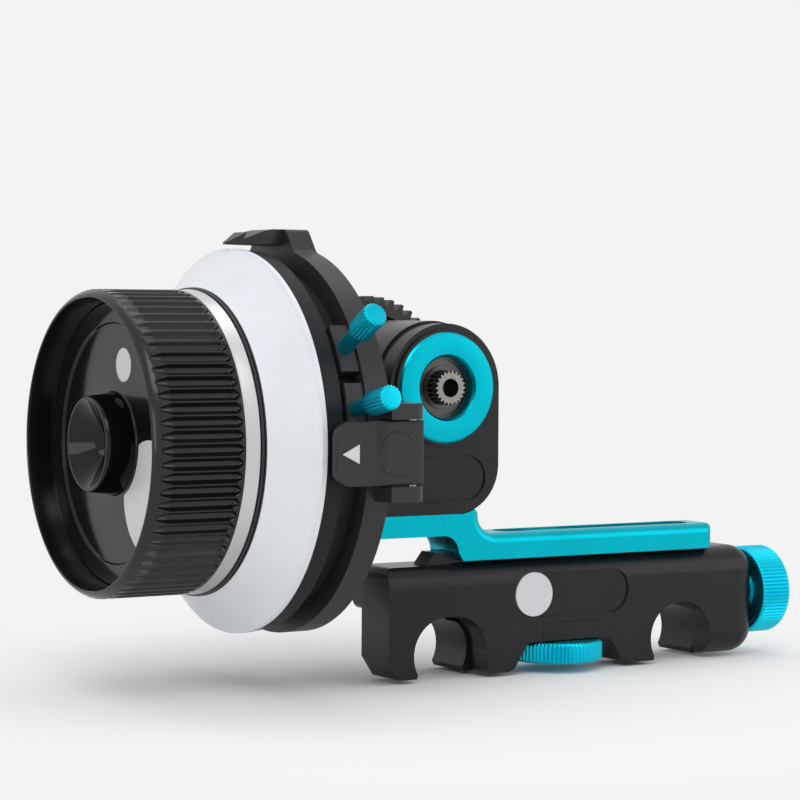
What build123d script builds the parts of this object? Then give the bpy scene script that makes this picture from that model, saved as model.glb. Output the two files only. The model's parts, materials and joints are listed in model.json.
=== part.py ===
from build123d import *
import math
import os

# Follow focus unit for 15 mm rods. Millimetres, +Z up, +X along the clamp away from the handwheel,
# +Y along the rods towards the drive gear. Origin: axis of the rod nearest the handwheel,
# at the middle of the clamp body's depth.

os.makedirs("parts", exist_ok=True)

# ---- clearances
running = 0.05          # shaft in its bore, radial
seat = 0.05             # piece in the pocket that holds it, each side
free_gap = 0.3          # surfaces that pass each other
face_gap = 0.1          # flat faces that stand together

# ---- rods and clamp
rod_radius = 7.5
rod_spacing = 60.0
hook_radius = rod_radius + 0.1
jaw_travel = 1.8
body_depth = 10.8
body_front = -body_depth / 2
body_rear = body_depth / 2
body_left = -13.6
body_right = 82.2
wing_top = 18.1
deck_top = 19.0
deck_start = 4.2
foot_bottom = -4.6
hook_tip_angle = 209.0
near_slot = 10.2
far_slot = 8.65
foot_chamfer = 0.5
hook_lip = 0.2
deck_slope = 1.4
nose_slope = 2.0
chin_run = 4.3
chin_height = 4.1
recess_left = 20.6
recess_right = 41.4
recess_top = 1.2
leg_slope = 4.0
end_radius = 5.6
front_corner = 5.2
corner_radius = 2.2

# ---- jaw, its screw and knob
jaw_depth = 7.6
jaw_front = body_rear + face_gap
jaw_rear = jaw_front + jaw_depth
jaw_left = -11.2
jaw_right = 77.4
jaw_top = 17.4
jaw_bar_bottom = 8.3
jaw_leg_width = 6.0
jaw_foot = -4.8
jaw_tip_angle = 30.0
leg_chamfer = 1.6
jaw_corner = 2.0
toe_front = 1.3
toe_top = 5.7
screw_y = 2.4
screw_z = 8.5
screw_radius = 2.5
screw_end = 69.3
nut_length = 5.0
nut_half = 3.3
nut_right = rod_spacing + jaw_travel + hook_radius + jaw_leg_width
clip_radius = 3.5
clip_thickness = 0.7
pocket_half = clip_radius + free_gap
pocket_left = nut_right - nut_length - jaw_travel - free_gap
pocket_right = 78.6
knob_gap = 0.15
knob_left = body_right + knob_gap
knob_length = 7.4
knob_radius = 9.6
knob_flutes = 44
knob_flute_depth = 0.45
knob_dish_lip = 1.3
knob_dish_depth = 0.7
knob_boss = 4.6
guide_screw_x = (18.0, 50.0)
guide_screw_z = 13.0
guide_shank = 1.5
guide_head = 2.8
guide_head_height = 1.8
guide_depth = 5.0
guide_hex = 1.3
guide_hex_depth = 1.1
knurl_root = 0.62
knurl_tip = 0.3
screw_share = 0.6
screw_chamfer = 0.5

# ---- arm
arm_depth = 11.0
arm_right = 69.3
arm_bar = 5.4
arm_top = deck_top + arm_bar
arm_left = -24.0
upper_bottom = 24.3
upper_top = 28.7
web_left = 3.0
web_right = 8.4
web_foot = 4.2
hump_right = 6.9
hump_run = 4.0
hump_rise = 3.8
web_blend = 3.6
arm_edge = 1.0
arm_nose = 2.0
rail_width = 5.0
rail_height = 1.7
rail_left = -3.0
rail_right = 70.0
rail_gap = 0.1
slot_left = 15.5
slot_right = 65.3
slot_width = 4.4
slot_step_width = 6.0
slot_step_depth = 2.6
lock_x = 31.0
stud_radius = 2.0
stud_head = 1.8
stud_head_width = 5.6
stud_head_length = 8.0
lock_wheel_radius = 10.0
lock_wheel_height = 4.4
lock_wheel_top = recess_top - free_gap
lock_flutes = 44
lock_flute_depth = 0.4
stud_share = 0.8
stud_corner = 1.5
arm_screw_x = (-17.0, -7.0)
arm_screw_radius = 2.0
arm_screw_head = 3.4
arm_screw_head_height = 2.2
arm_screw_reach = 2.2
arm_screw_hex = 1.8

# ---- gearbox: output axis runs along Y, wheel axis along X
output_x = -0.5
output_z = 54.6
wheel_y = 7.6
wheel_z = 44.1
box_half_depth = 13.0
box_front = wheel_y - box_half_depth
box_rear = wheel_y + box_half_depth
barrel_radius = 13.1
barrel_ridge = 0.5
barrel_start = 0.0
collar_radius = 12.0
collar_lip = 0.6
pod_corner = 10.0
pod_left = -28.8
pod_top = wheel_z + 4.0
neck_radius = 12.5
cover_thickness = 4.6
cover_inset = 8.0
cavity_radius = 8.4
cavity_front = box_front + 5.0
recess_depth = 0.4
stadium_low = 31.4
stadium_high = 40.7
stadium_right = 9.4
stadium_left = -20.0
cover_screw_radius = 1.25
cover_screw_head = 2.2
cover_screw_depth = 7.0
cover_screw_hex = 1.1
cover_head_height = 1.6
cover_hex_depth = 1.0
cover_corner = 3.0
lay_seat_front = 3.0
lay_seat_rear = 2.5
lay_end_gap = 0.2
cover_screws = ((7.4, 34.0), (-12.0, 33.2), (-12.0, 47.5), (9.6, 44.0))

# ---- rings and bearings on the output axis
ring_outer = 10.8
ring_inner = 6.3
ring_thickness = 2.0
ring_sink = 1.0
bearing_outer = 7.0
bearing_bore = 3.55
bearing_width = 3.5
race = 1.2
inner_race = 0.84
shield_depth = 0.4

# ---- shafts and inside gears
output_radius = 3.5
output_front = box_front - 2.0
spline_teeth = 22
spline_depth = 0.45
spline_length = 5.0
output_hole = 1.9
output_hole_depth = 9.0
spur_teeth = 20
spur_width = 2.6
mitre_teeth = 16
mitre_module = 0.6
mitre_ratio = 0.6
lay_radius = 2.0
spacer_radius = 4.8
input_radius = 3.0
bush_radius = 5.0
bush_length = 14.0
bush_overhang = 3.0
spindle_nose = 1.5
spline_root = 0.7
spline_tip = 0.25

# ---- drive gear
gear_teeth = 45
gear_module = 0.8
gear_width = 10.0
gear_gap = 4.0
gear_web = 4.0
gear_rim = 3.0
gear_hub = 7.0
gear_screw_radius = 1.85
gear_screw_head = 3.6
gear_screw_length = 8.0
gear_screw_head_height = 2.2
gear_screw_hex = 1.6
gear_screw_hex_depth = 1.4
washer_thickness = 1.0
dedendum = 1.2            # in modules
addendum = 0.9            # in modules
tooth_root_share = 0.66   # of one tooth pitch
tooth_tip_share = 0.24

# ---- fixed plate, stops, pointers
plate_left = -34.0
plate_right = pod_left
plate_radius = 38.7
track_left = -38.2
track_radius = 34.3
stop_width = 15.0
stop_height = 3.9
stop_outer = track_radius + stop_height
stop_a_angle = 30.0
stop_b_angle = 11.5
stop_x = -36.1
stop_shank = 1.5
stop_neck = 2.2
stop_neck_start = 38.7
stop_head_start = 42.7
stop_head_end = 51.3
stop_head_radius = 2.4
stop_flutes = 18
stop_flute_depth = 0.25
stop_shoulder = 0.2
stop_slack = 0.1          # stop in its track, and its screw off the track's floor
hole_overrun = 1.0
flap_left = -42.9
flap_front = -34.8
flap_thickness = 2.4
flap_bottom = 37.3
flap_top = 49.5
flap_corner = 3.2
hinge_x = -26.1
hinge_y = -33.6
hinge_pin = 0.9
knuckle_radius = 2.1
lug_height = 3.0
lug_gap = 0.25
lug_root_back = 5.5
lug_overlap = 3.0
mark_inset = 1.0
mark_length = 3.6
mark_half = 1.8
mark_recess = 0.3
mark_proud = 0.05
plate_screw_pcd = 9.0
plate_screw_count = 4
plate_screw_radius = 1.25
plate_screw_head = 2.2
plate_screw_head_height = 1.6
plate_screw_hex = 1.1
plate_screw_hex_depth = 0.8
plate_screw_reach = 5.0
dish_rim = 3.0
dish_depth = 4.6
lug_rise = 3.5
lug_top_half = 5.9
lug_foot_half = 9.4
lug_corner = 1.6
lug_root = 2.6
plate_lug_top = wheel_z + plate_radius + lug_rise
pointer_tip = -44.6
pointer_fin = -40.9
pointer_notch = -41.6
pointer_shoulder = -38.0
pointer_width = 9.0
pointer_foot = 3.0
pointer_tip_half = 0.6
pointer_tip_rise = 0.4
pointer_fin_rise = 2.5
pointer_notch_rise = 1.1
pointer_shoulder_drop = 0.4
pointer_back = 2.0
pointer_clearance = 0.8

# ---- handwheel, from its front rim to the rotor
wheel_front = -74.5
wheel_radius = 30.0
wheel_inner = 26.0
wheel_floor = -68.5
wheel_floor_back = -64.5
grip_end = -55.6
shoulder_length = 2.6
shoulder_height = 2.0
rib_count = 72
rib_gap = 1.3
rib_depth = 0.9
rib_front_land = 1.0
rib_rear_land = 0.6
hub_front_radius = 9.2
hub_base_radius = 10.6
funnel_radius = 8.2
funnel_depth = 7.0
socket_side = 6.4
socket_depth = 3.0
silver_end = -52.4
silver_front_radius = 29.4
silver_rear_radius = 30.2
dark_ring_end = -51.4
dark_ring_radius = 30.5
disc_end = -42.7
disc_radius = 38.3
pointer_bottom = wheel_z + disc_radius + pointer_clearance
disc_edge = 1.6
disc_flare_run = 1.0
disc_flare_drop = 1.6
disc_lip_run = 0.4
disc_lip_drop = 0.3
rotor_end = -38.9
rotor_radius = 37.8
rotor_web = 3.0
spigot_wall = 3.0
spigot_end = -60.0
spindle_flange = 9.0
flange_thickness = 4.0
rotor_bore = 5.0
hub_boss = 4.0
centre_screw_reach = 7.0
centre_hole_depth = 8.0
tab_inner = 34.8
tab_outer = 37.4
tab_width = 4.0
tab_depth = 2.2
tab_angle = 200.0
tab_root = 0.5
centre_screw_radius = 1.5
centre_screw_head = 2.8
centre_head_height = 1.6
centre_hex = 1.4
centre_hex_floor = 0.7
centre_hex_wall = 0.8
funnel_taper = 28
hub_boss_step = 3.0
core_step = 2.0

# ---- badge and small cover on the clamp's front
badge_left = 17.0
badge_right = 46.3
badge_low = 6.4
badge_high = 16.1
badge_disc_radius = 4.6
badge_margin = 0.25
badge_overrun = 0.1
cover_left = 24.2
cover_right = 38.8
cover_low = 1.2
cover_high = 5.1
cover_depth = 0.8


def front_plane(y):
    """Sketch plane facing the viewer: local x is X, local y is Z; it extrudes towards -Y."""
    return Plane(origin=(0, y, 0), x_dir=(1, 0, 0), z_dir=(0, -1, 0))


def side_plane(x):
    """Sketch plane across X: local x is Y, local y is Z; it extrudes towards +X."""
    return Plane(origin=(x, 0, 0), x_dir=(0, 1, 0), z_dir=(1, 0, 0))


wheel_section = Plane(origin=(0, wheel_y, wheel_z), x_dir=(1, 0, 0), z_dir=(0, -1, 0))
wheel_axis = Axis((0, wheel_y, wheel_z), (1, 0, 0))


def wheel_ring(points):
    """Solid of revolution about the wheel axis from (x, radius) points."""
    with BuildPart() as ring:
        with BuildSketch(wheel_section):
            with BuildLine():
                Polyline(*points, close=True)
            make_face()
        revolve(axis=wheel_axis)
    return ring


def toothed_outline(teeth, root_radius, tip_radius, root_share, tip_share, phase=0.0):
    """Points of a toothed wheel: straight flanks; the shares are of one tooth pitch."""
    points = []
    pitch = 2 * math.pi / teeth
    for index in range(teeth):
        middle = index * pitch + phase
        for radius, share in (
            (root_radius, -root_share),
            (tip_radius, -tip_share),
            (tip_radius, tip_share),
            (root_radius, root_share),
        ):
            angle = middle + share * pitch / 2
            points.append((radius * math.cos(angle), radius * math.sin(angle)))
    return points


def gear_outline(teeth, module, phase=0.0):
    """Gear tooth outline: full-depth teeth with straight flanks and a little backlash."""
    pitch_radius = teeth * module / 2
    return toothed_outline(
        teeth,
        pitch_radius - dedendum * module,
        pitch_radius + addendum * module,
        tooth_root_share,
        tooth_tip_share,
        phase,
    )


# ================= clamp =================

with BuildPart() as clamp_body:
    with BuildSketch(front_plane(body_rear)):
        with BuildLine():
            tip_dx = hook_radius * math.cos(math.radians(hook_tip_angle))
            tip_dz = hook_radius * math.sin(math.radians(hook_tip_angle))
            right_x = rod_spacing
            Polyline(
                (body_left, foot_bottom + chin_height),
                (body_left, wing_top),
                (deck_start - deck_slope, wing_top),
                (deck_start, deck_top),
                (body_right, deck_top),
                (body_right, foot_bottom),
                (right_x + far_slot + foot_chamfer, foot_bottom),
                (right_x + far_slot, foot_bottom + foot_chamfer),
                (right_x + far_slot, 0),
            )
            CenterArc((right_x + far_slot - hook_radius, 0), hook_radius, 0, 90)
            Line((right_x + far_slot - hook_radius, hook_radius), (right_x, hook_radius))
            CenterArc((right_x, 0), hook_radius, 90, hook_tip_angle - 90)
            Polyline(
                (right_x + tip_dx, tip_dz),
                (right_x + tip_dx - hook_lip, foot_bottom),
                (recess_right + leg_slope, foot_bottom),
                (recess_right, recess_top),
                (recess_left, recess_top),
                (recess_left - leg_slope, foot_bottom),
                (near_slot + foot_chamfer, foot_bottom),
                (near_slot, foot_bottom + foot_chamfer),
                (near_slot, 0),
            )
            CenterArc((near_slot - hook_radius, 0), hook_radius, 0, 90)
            Line((near_slot - hook_radius, hook_radius), (0, hook_radius))
            CenterArc((0, 0), hook_radius, 90, hook_tip_angle - 90)
            Polyline(
                (tip_dx, tip_dz),
                (tip_dx - hook_lip, foot_bottom),
                (tip_dx - chin_run, foot_bottom),
                (body_left, foot_bottom + chin_height),
            )
        make_face()
    extrude(amount=body_depth)
    upright = clamp_body.edges().filter_by(Axis.Y)
    fillet(upright.sort_by_distance((body_right, 0, deck_top))[0], end_radius)
    upright = clamp_body.edges().filter_by(Axis.Y)
    fillet(upright.sort_by_distance((body_right, 0, foot_bottom))[0], end_radius)
    upright = clamp_body.edges().filter_by(Axis.Y)
    fillet(upright.sort_by_distance((body_left, 0, wing_top))[0], corner_radius)
    for knee_x in (recess_left, recess_right):
        upright = clamp_body.edges().filter_by(Axis.Y)
        fillet(upright.sort_by_distance((knee_x, 0, recess_top))[0], corner_radius)
    for ankle_x in (recess_left - leg_slope, recess_right + leg_slope):
        upright = clamp_body.edges().filter_by(Axis.Y)
        fillet(upright.sort_by_distance((ankle_x, 0, foot_bottom))[0], corner_radius)
    upright = clamp_body.edges().filter_by(Axis.Z)
    fillet(upright.sort_by_distance((body_right, body_front, screw_z))[0], front_corner)
    # rail that guides the arm, with a sloped nose
    with BuildSketch(front_plane(rail_width / 2)):
        with BuildLine():
            Polyline(
                (rail_left, wing_top - 1),
                (rail_left, wing_top),
                (rail_left + nose_slope, deck_top + rail_height),
                (rail_right, deck_top + rail_height),
                (rail_right, wing_top - 1),
                close=True,
            )
        make_face()
    extrude(amount=rail_width)
    # stud hole, screw hole, pocket for the jaw's nut, room for the jaw's toes, guide screw holes
    with Locations(Location((lock_x, 0, deck_top + rail_height))):
        Hole(radius=stud_radius + running)
    with BuildSketch(side_plane(body_right)):
        with Locations((screw_y, screw_z)):
            Circle(screw_radius + running)
    extrude(amount=pocket_right - body_right - 1, mode=Mode.SUBTRACT)
    with BuildSketch(side_plane(pocket_left)):
        with Locations((screw_y - pocket_half, screw_z)):
            Rectangle(
                body_rear - screw_y + pocket_half + 1, 2 * pocket_half, align=(Align.MIN, Align.CENTER)
            )
    extrude(amount=pocket_right - pocket_left, mode=Mode.SUBTRACT)
    for rod_x in (0, rod_spacing):
        toe_right = rod_x + jaw_travel + hook_radius + jaw_leg_width
        with BuildSketch(front_plane(body_rear)):
            with Locations((rod_x + jaw_travel, toe_top + free_gap)):
                Rectangle(
                    toe_right + free_gap - rod_x - jaw_travel,
                    toe_top + free_gap - foot_bottom + 1,
                    align=(Align.MIN, Align.MAX),
                )
        extrude(amount=body_rear - toe_front + face_gap, mode=Mode.SUBTRACT)
    with BuildSketch(front_plane(body_rear)):
        with Locations(*[(x, guide_screw_z) for x in guide_screw_x]):
            Circle(guide_shank + seat)
    extrude(amount=guide_depth + seat, mode=Mode.SUBTRACT)
    # label recess and the pocket of the small cover
    with BuildSketch(front_plane(body_front)):
        with Locations(((badge_left + badge_right) / 2, (badge_low + badge_high) / 2)):
            SlotOverall(badge_right - badge_left, badge_high - badge_low)
    extrude(amount=-recess_depth, mode=Mode.SUBTRACT)
    with BuildSketch(front_plane(body_front)):
        with Locations(((cover_left + cover_right) / 2, (cover_low + cover_high) / 2)):
            Rectangle(cover_right - cover_left, cover_high - cover_low)
    extrude(amount=-cover_depth, mode=Mode.SUBTRACT)

with BuildPart() as badge_disc:
    with BuildSketch(front_plane(body_front + recess_depth)):
        with Locations((badge_left + badge_disc_radius + badge_margin, (badge_low + badge_high) / 2)):
            Circle(badge_disc_radius)
    extrude(amount=recess_depth + badge_overrun)

with BuildPart() as nut_cover:
    with BuildSketch(front_plane(body_front + cover_depth)):
        with Locations(((cover_left + cover_right) / 2, (cover_low + cover_high) / 2)):
            Rectangle(cover_right - cover_left - 2 * seat, cover_high - cover_low - 2 * seat)
    extrude(amount=cover_depth)



def jaw_leg(rod_x, top):
    """Face of the jaw's leg behind one rod: its inner side is an arc that curls under the rod."""
    centre_x = rod_x + jaw_travel
    leg_right = centre_x + hook_radius + jaw_leg_width
    low = math.radians(-jaw_tip_angle)
    high = math.asin(min(top / hook_radius, 1.0))
    ends = [
        (centre_x + hook_radius * math.cos(turn), hook_radius * math.sin(turn))
        for turn in (low, (low + high) / 2, high)
    ]
    with BuildSketch() as leg:
        with BuildLine():
            ThreePointArc(*ends)
            Polyline(
                ends[2],
                *([(ends[2][0], top)] if top > hook_radius else []),
                (leg_right, top),
                (leg_right, jaw_foot + leg_chamfer),
                (leg_right - leg_chamfer, jaw_foot),
                (ends[0][0] + foot_chamfer, jaw_foot),
                ends[0],
            )
        make_face()
    return leg.sketch


legs = [jaw_leg(rod_x, jaw_bar_bottom) for rod_x in (0, rod_spacing)]
toes = [jaw_leg(rod_x, toe_top) for rod_x in (0, rod_spacing)]

with BuildPart() as jaw_slider:
    with BuildSketch(front_plane(jaw_rear)):
        with Locations(((jaw_left + jaw_right) / 2, (jaw_bar_bottom + jaw_top) / 2)):
            Rectangle(jaw_right - jaw_left, jaw_top - jaw_bar_bottom)
        add(legs)
    extrude(amount=jaw_depth)
    fillet(jaw_slider.edges().filter_by(Axis.Y).sort_by_distance((jaw_left, jaw_rear, jaw_top))[0], jaw_corner)
    fillet(jaw_slider.edges().filter_by(Axis.Y).sort_by_distance((jaw_left, jaw_rear, jaw_bar_bottom))[0], jaw_corner)
    # toes that reach forwards into the clamp, then the nut that the screw drives
    with BuildSketch(front_plane(jaw_front)):
        add(toes)
    extrude(amount=jaw_front - toe_front)
    with BuildSketch(side_plane(nut_right - nut_length)):
        with Locations((screw_y - nut_half, screw_z)):
            Rectangle(jaw_front - screw_y + nut_half, 2 * nut_half, align=(Align.MIN, Align.CENTER))
    extrude(amount=nut_length)
    with BuildSketch(side_plane(nut_right - nut_length)):
        with Locations((screw_y, screw_z)):
            Circle(screw_radius + running)
    extrude(amount=nut_length, mode=Mode.SUBTRACT)
    # slots for the guide screws
    with BuildSketch(front_plane(jaw_rear)):
        with Locations(*[(x + jaw_travel / 2, guide_screw_z) for x in guide_screw_x]):
            SlotOverall(2 * guide_shank + jaw_travel + 4 * seat, 2 * (guide_shank + 2 * seat))
    extrude(amount=jaw_depth, mode=Mode.SUBTRACT)

with BuildPart() as jaw_guide_screws:
    with BuildSketch(front_plane(jaw_rear + face_gap)):
        with Locations(*[(x, guide_screw_z) for x in guide_screw_x]):
            Circle(guide_shank)
    extrude(amount=jaw_depth + 2 * face_gap + guide_depth)
    with BuildSketch(front_plane(jaw_rear + face_gap + guide_head_height)):
        with Locations(*[(x, guide_screw_z) for x in guide_screw_x]):
            Circle(guide_head)
            RegularPolygon(radius=guide_hex, side_count=6, mode=Mode.SUBTRACT)
    extrude(amount=guide_head_height)
    with BuildSketch(front_plane(jaw_rear + face_gap + (guide_head_height - guide_hex_depth))):
        with Locations(*[(x, guide_screw_z) for x in guide_screw_x]):
            Circle(guide_hex + seat)
    extrude(amount=(guide_head_height - guide_hex_depth))

with BuildPart() as clamp_screw:
    with BuildSketch(side_plane(screw_end)):
        with Locations((screw_y, screw_z)):
            Circle(screw_radius)
    extrude(amount=knob_left + knob_length * screw_share - screw_end)
    chamfer(clamp_screw.faces().sort_by(Axis.X)[0].edges(), screw_chamfer)

with BuildPart() as clamp_knob:
    with BuildSketch(side_plane(knob_left)):
        with BuildLine():
            outline = toothed_outline(knob_flutes, knob_radius - knob_flute_depth, knob_radius, knurl_root, knurl_tip)
            Polyline(*[(screw_y + y, screw_z + z) for y, z in outline], close=True)
        make_face()
    extrude(amount=knob_length)
    with BuildSketch(side_plane(knob_left)):
        with Locations((screw_y, screw_z)):
            Circle(screw_radius)
    extrude(amount=knob_length * screw_share, mode=Mode.SUBTRACT)
    # shallow dishes in both faces; the inner one leaves a boss that runs on the clamp's end
    for face_x, inward, boss in ((knob_left, 1, knob_boss), (knob_left + knob_length, -1, 0)):
        with BuildSketch(side_plane(face_x)):
            with Locations((screw_y, screw_z)):
                Circle(knob_radius - knob_flute_depth - knob_dish_lip)
                if boss:
                    Circle(boss, mode=Mode.SUBTRACT)
        extrude(amount=knob_dish_depth * inward, mode=Mode.SUBTRACT)

with BuildPart() as screw_clip:
    with BuildSketch(side_plane(pocket_right - face_gap - clip_thickness)):
        with Locations((screw_y, screw_z)):
            Circle(clip_radius)
            Circle(screw_radius, mode=Mode.SUBTRACT)
    extrude(amount=clip_thickness)

# ================= arm and its lock =================

hump_radius = pod_corner + face_gap
hump_centre_x = output_x + barrel_radius - pod_corner
hump_centre_z = upper_top + pod_corner
hump_left = hump_centre_x + math.sqrt(hump_radius**2 - pod_corner**2)


def hump_point(x):
    """Point of the arm's lip, which follows the rounded corner of the gearbox."""
    return (x, hump_centre_z - math.sqrt(hump_radius**2 - (x - hump_centre_x) ** 2))


with BuildPart() as focus_arm:
    with BuildSketch(front_plane(arm_depth / 2)):
        with BuildLine():
            Polyline(
                (web_foot, deck_top),
                (arm_right, deck_top),
                (arm_right, arm_top),
                (web_right + hump_run, arm_top),
            )
            RadiusArc((web_right + hump_run, arm_top), (web_right, arm_top + hump_rise), hump_run)
            Line((web_right, arm_top + hump_rise), hump_point(hump_right))
            ThreePointArc(
                hump_point(hump_right), hump_point((hump_right + hump_left) / 2), hump_point(hump_left)
            )
            Polyline(
                hump_point(hump_left),
                (arm_left, upper_top),
                (arm_left, upper_bottom),
                (web_left - web_blend, upper_bottom),
            )
            RadiusArc((web_left - web_blend, upper_bottom), (web_left, upper_bottom - web_blend), web_blend)
            Line((web_left, upper_bottom - web_blend), (web_foot, deck_top))
        make_face()
    extrude(amount=arm_depth)
    fillet(focus_arm.edges().filter_by(Axis.Y).sort_by_distance((arm_right, 0, arm_top))[0], arm_edge)
    fillet(focus_arm.edges().filter_by(Axis.Z).group_by(Axis.X)[-1], arm_nose)
    # groove over the rail
    with BuildSketch(Plane.XY.offset(deck_top)):
        with Locations(((arm_left + arm_right) / 2, 0)):
            Rectangle(arm_right - arm_left + 2, rail_width + 2 * rail_gap)
    extrude(amount=rail_height + rail_gap, mode=Mode.SUBTRACT)
    # stepped slot for the lock stud
    slot_middle = (slot_left + slot_right) / 2
    slot_length = slot_right - slot_left
    with BuildSketch(Plane.XY.offset(arm_top)):
        with Locations((slot_middle, 0)):
            SlotOverall(slot_length, slot_step_width)
    extrude(amount=-slot_step_depth, mode=Mode.SUBTRACT)
    with BuildSketch(Plane.XY.offset(arm_top)):
        with Locations((slot_middle, 0)):
            SlotOverall(slot_length - slot_step_width + slot_width, slot_width)
    extrude(amount=-arm_bar, mode=Mode.SUBTRACT)
    # counterbored holes for the two screws that hold the gearbox
    with Locations(*[Location((x, 0, upper_bottom), (180, 0, 0)) for x in arm_screw_x]):
        CounterBoreHole(
            radius=arm_screw_radius + seat,
            counter_bore_radius=arm_screw_head + seat,
            counter_bore_depth=arm_screw_head_height,
        )

with BuildPart() as arm_screws:
    with BuildSketch(Plane.XY.offset(upper_bottom)):
        with Locations(*[(x, 0) for x in arm_screw_x]):
            Circle(arm_screw_head)
            RegularPolygon(radius=arm_screw_hex, side_count=6, mode=Mode.SUBTRACT)
    extrude(amount=arm_screw_head_height)
    with BuildSketch(Plane.XY.offset(upper_bottom + arm_screw_head_height * screw_share)):
        with Locations(*[(x, 0) for x in arm_screw_x]):
            Circle(arm_screw_radius)
    extrude(amount=upper_top - upper_bottom - arm_screw_head_height * screw_share + arm_screw_reach)

with BuildPart() as lock_stud:
    with BuildSketch(Plane.XY.offset(arm_top - slot_step_depth + seat)):
        with Locations((lock_x, 0)):
            Rectangle(stud_head_length, stud_head_width)
    extrude(amount=stud_head)
    fillet(lock_stud.edges().filter_by(Axis.Z), stud_corner)
    with BuildSketch(Plane.XY.offset(lock_wheel_top - lock_wheel_height * stud_share)):
        with Locations((lock_x, 0)):
            Circle(stud_radius)
    extrude(amount=arm_top - slot_step_depth + face_gap - lock_wheel_top + lock_wheel_height * stud_share)

with BuildPart() as lock_wheel:
    with BuildSketch(Plane.XY.offset(lock_wheel_top - lock_wheel_height)):
        with BuildLine():
            outline = toothed_outline(lock_flutes, lock_wheel_radius - lock_flute_depth, lock_wheel_radius, knurl_root, knurl_tip)
            Polyline(*[(lock_x + x, y) for x, y in outline], close=True)
        make_face()
    extrude(amount=lock_wheel_height)
    with BuildSketch(Plane.XY.offset(lock_wheel_top)):
        with Locations((lock_x, 0)):
            Circle(stud_radius + running)
    extrude(amount=-lock_wheel_height * stud_share - running, mode=Mode.SUBTRACT)

# ================= gearbox =================

with BuildPart() as gearbox_housing:
    housing_rear = box_rear - cover_thickness
    housing_depth = housing_rear - box_front
    # pod: rounded block over the arm
    with BuildSketch(front_plane(housing_rear)):
        with BuildLine():
            Polyline(
                (pod_left, upper_top),
                (output_x + barrel_radius, upper_top),
                (output_x + barrel_radius, output_z),
                (output_x, pod_top),
                (pod_left, pod_top),
                close=True,
            )
        make_face()
    extrude(amount=housing_depth)
    corner = gearbox_housing.edges().filter_by(Axis.Y)
    fillet(corner.sort_by_distance((output_x + barrel_radius, 0, upper_top))[0], pod_corner)
    # barrel on the output axis and neck on the wheel axis
    with BuildSketch(front_plane(housing_rear)):
        with Locations((output_x, output_z)):
            Circle(barrel_radius)
    extrude(amount=housing_depth)
    with BuildSketch(front_plane(housing_rear)):
        with Locations((output_x, output_z)):
            Circle(barrel_radius + barrel_ridge)
    extrude(amount=housing_rear - barrel_start)
    with BuildSketch(side_plane(pod_left)):
        with Locations((wheel_y, wheel_z)):
            Circle(neck_radius)
            with Locations((housing_rear + neck_radius - wheel_y, 0)):
                Rectangle(2 * neck_radius, 2 * neck_radius + 2, mode=Mode.SUBTRACT)
    extrude(amount=output_x - pod_left)
    with BuildSketch(front_plane(box_front)):
        with Locations((output_x, output_z)):
            Circle(collar_radius)
    extrude(amount=collar_lip)
    # label recess in the pod's front
    with BuildSketch(front_plane(box_front)):
        with Locations(((stadium_left + stadium_right) / 2, (stadium_low + stadium_high) / 2)):
            SlotOverall(stadium_right - stadium_left, stadium_high - stadium_low)
    extrude(amount=-recess_depth, mode=Mode.SUBTRACT)
    # gear cavity, open to the rear
    with BuildSketch(front_plane(housing_rear)):
        with Locations((output_x, (output_z + wheel_z) / 2)):
            SlotOverall(output_z - wheel_z + 2 * cavity_radius, 2 * cavity_radius, rotation=90)
    extrude(amount=housing_rear - cavity_front, mode=Mode.SUBTRACT)
    # seats: ring, front bearing, layshaft pocket, input bush
    with BuildSketch(front_plane(cavity_front)):
        with Locations((output_x, output_z)):
            Circle(bearing_outer)
    extrude(amount=cavity_front - box_front + collar_lip, mode=Mode.SUBTRACT)
    with BuildSketch(front_plane(box_front + ring_sink)):
        with Locations((output_x, output_z)):
            Circle(ring_outer + seat)
    extrude(amount=ring_sink + collar_lip, mode=Mode.SUBTRACT)
    with BuildSketch(front_plane(cavity_front)):
        with Locations((output_x, wheel_z)):
            Circle(lay_radius + running)
    extrude(amount=lay_seat_front, mode=Mode.SUBTRACT)
    with BuildSketch(side_plane(pod_left)):
        with Locations((wheel_y, wheel_z)):
            Circle(bush_radius)
    extrude(amount=output_x - pod_left, mode=Mode.SUBTRACT)
    # tapped holes: cover screws from the rear, arm screws from below
    with BuildSketch(front_plane(housing_rear)):
        with Locations(*cover_screws):
            Circle(cover_screw_radius)
    extrude(amount=cover_screw_depth - cover_thickness, mode=Mode.SUBTRACT)
    with BuildSketch(Plane.XY.offset(upper_top)):
        with Locations(*[(x, 0) for x in arm_screw_x]):
            Circle(arm_screw_radius)
    extrude(amount=arm_screw_reach, mode=Mode.SUBTRACT)

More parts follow.
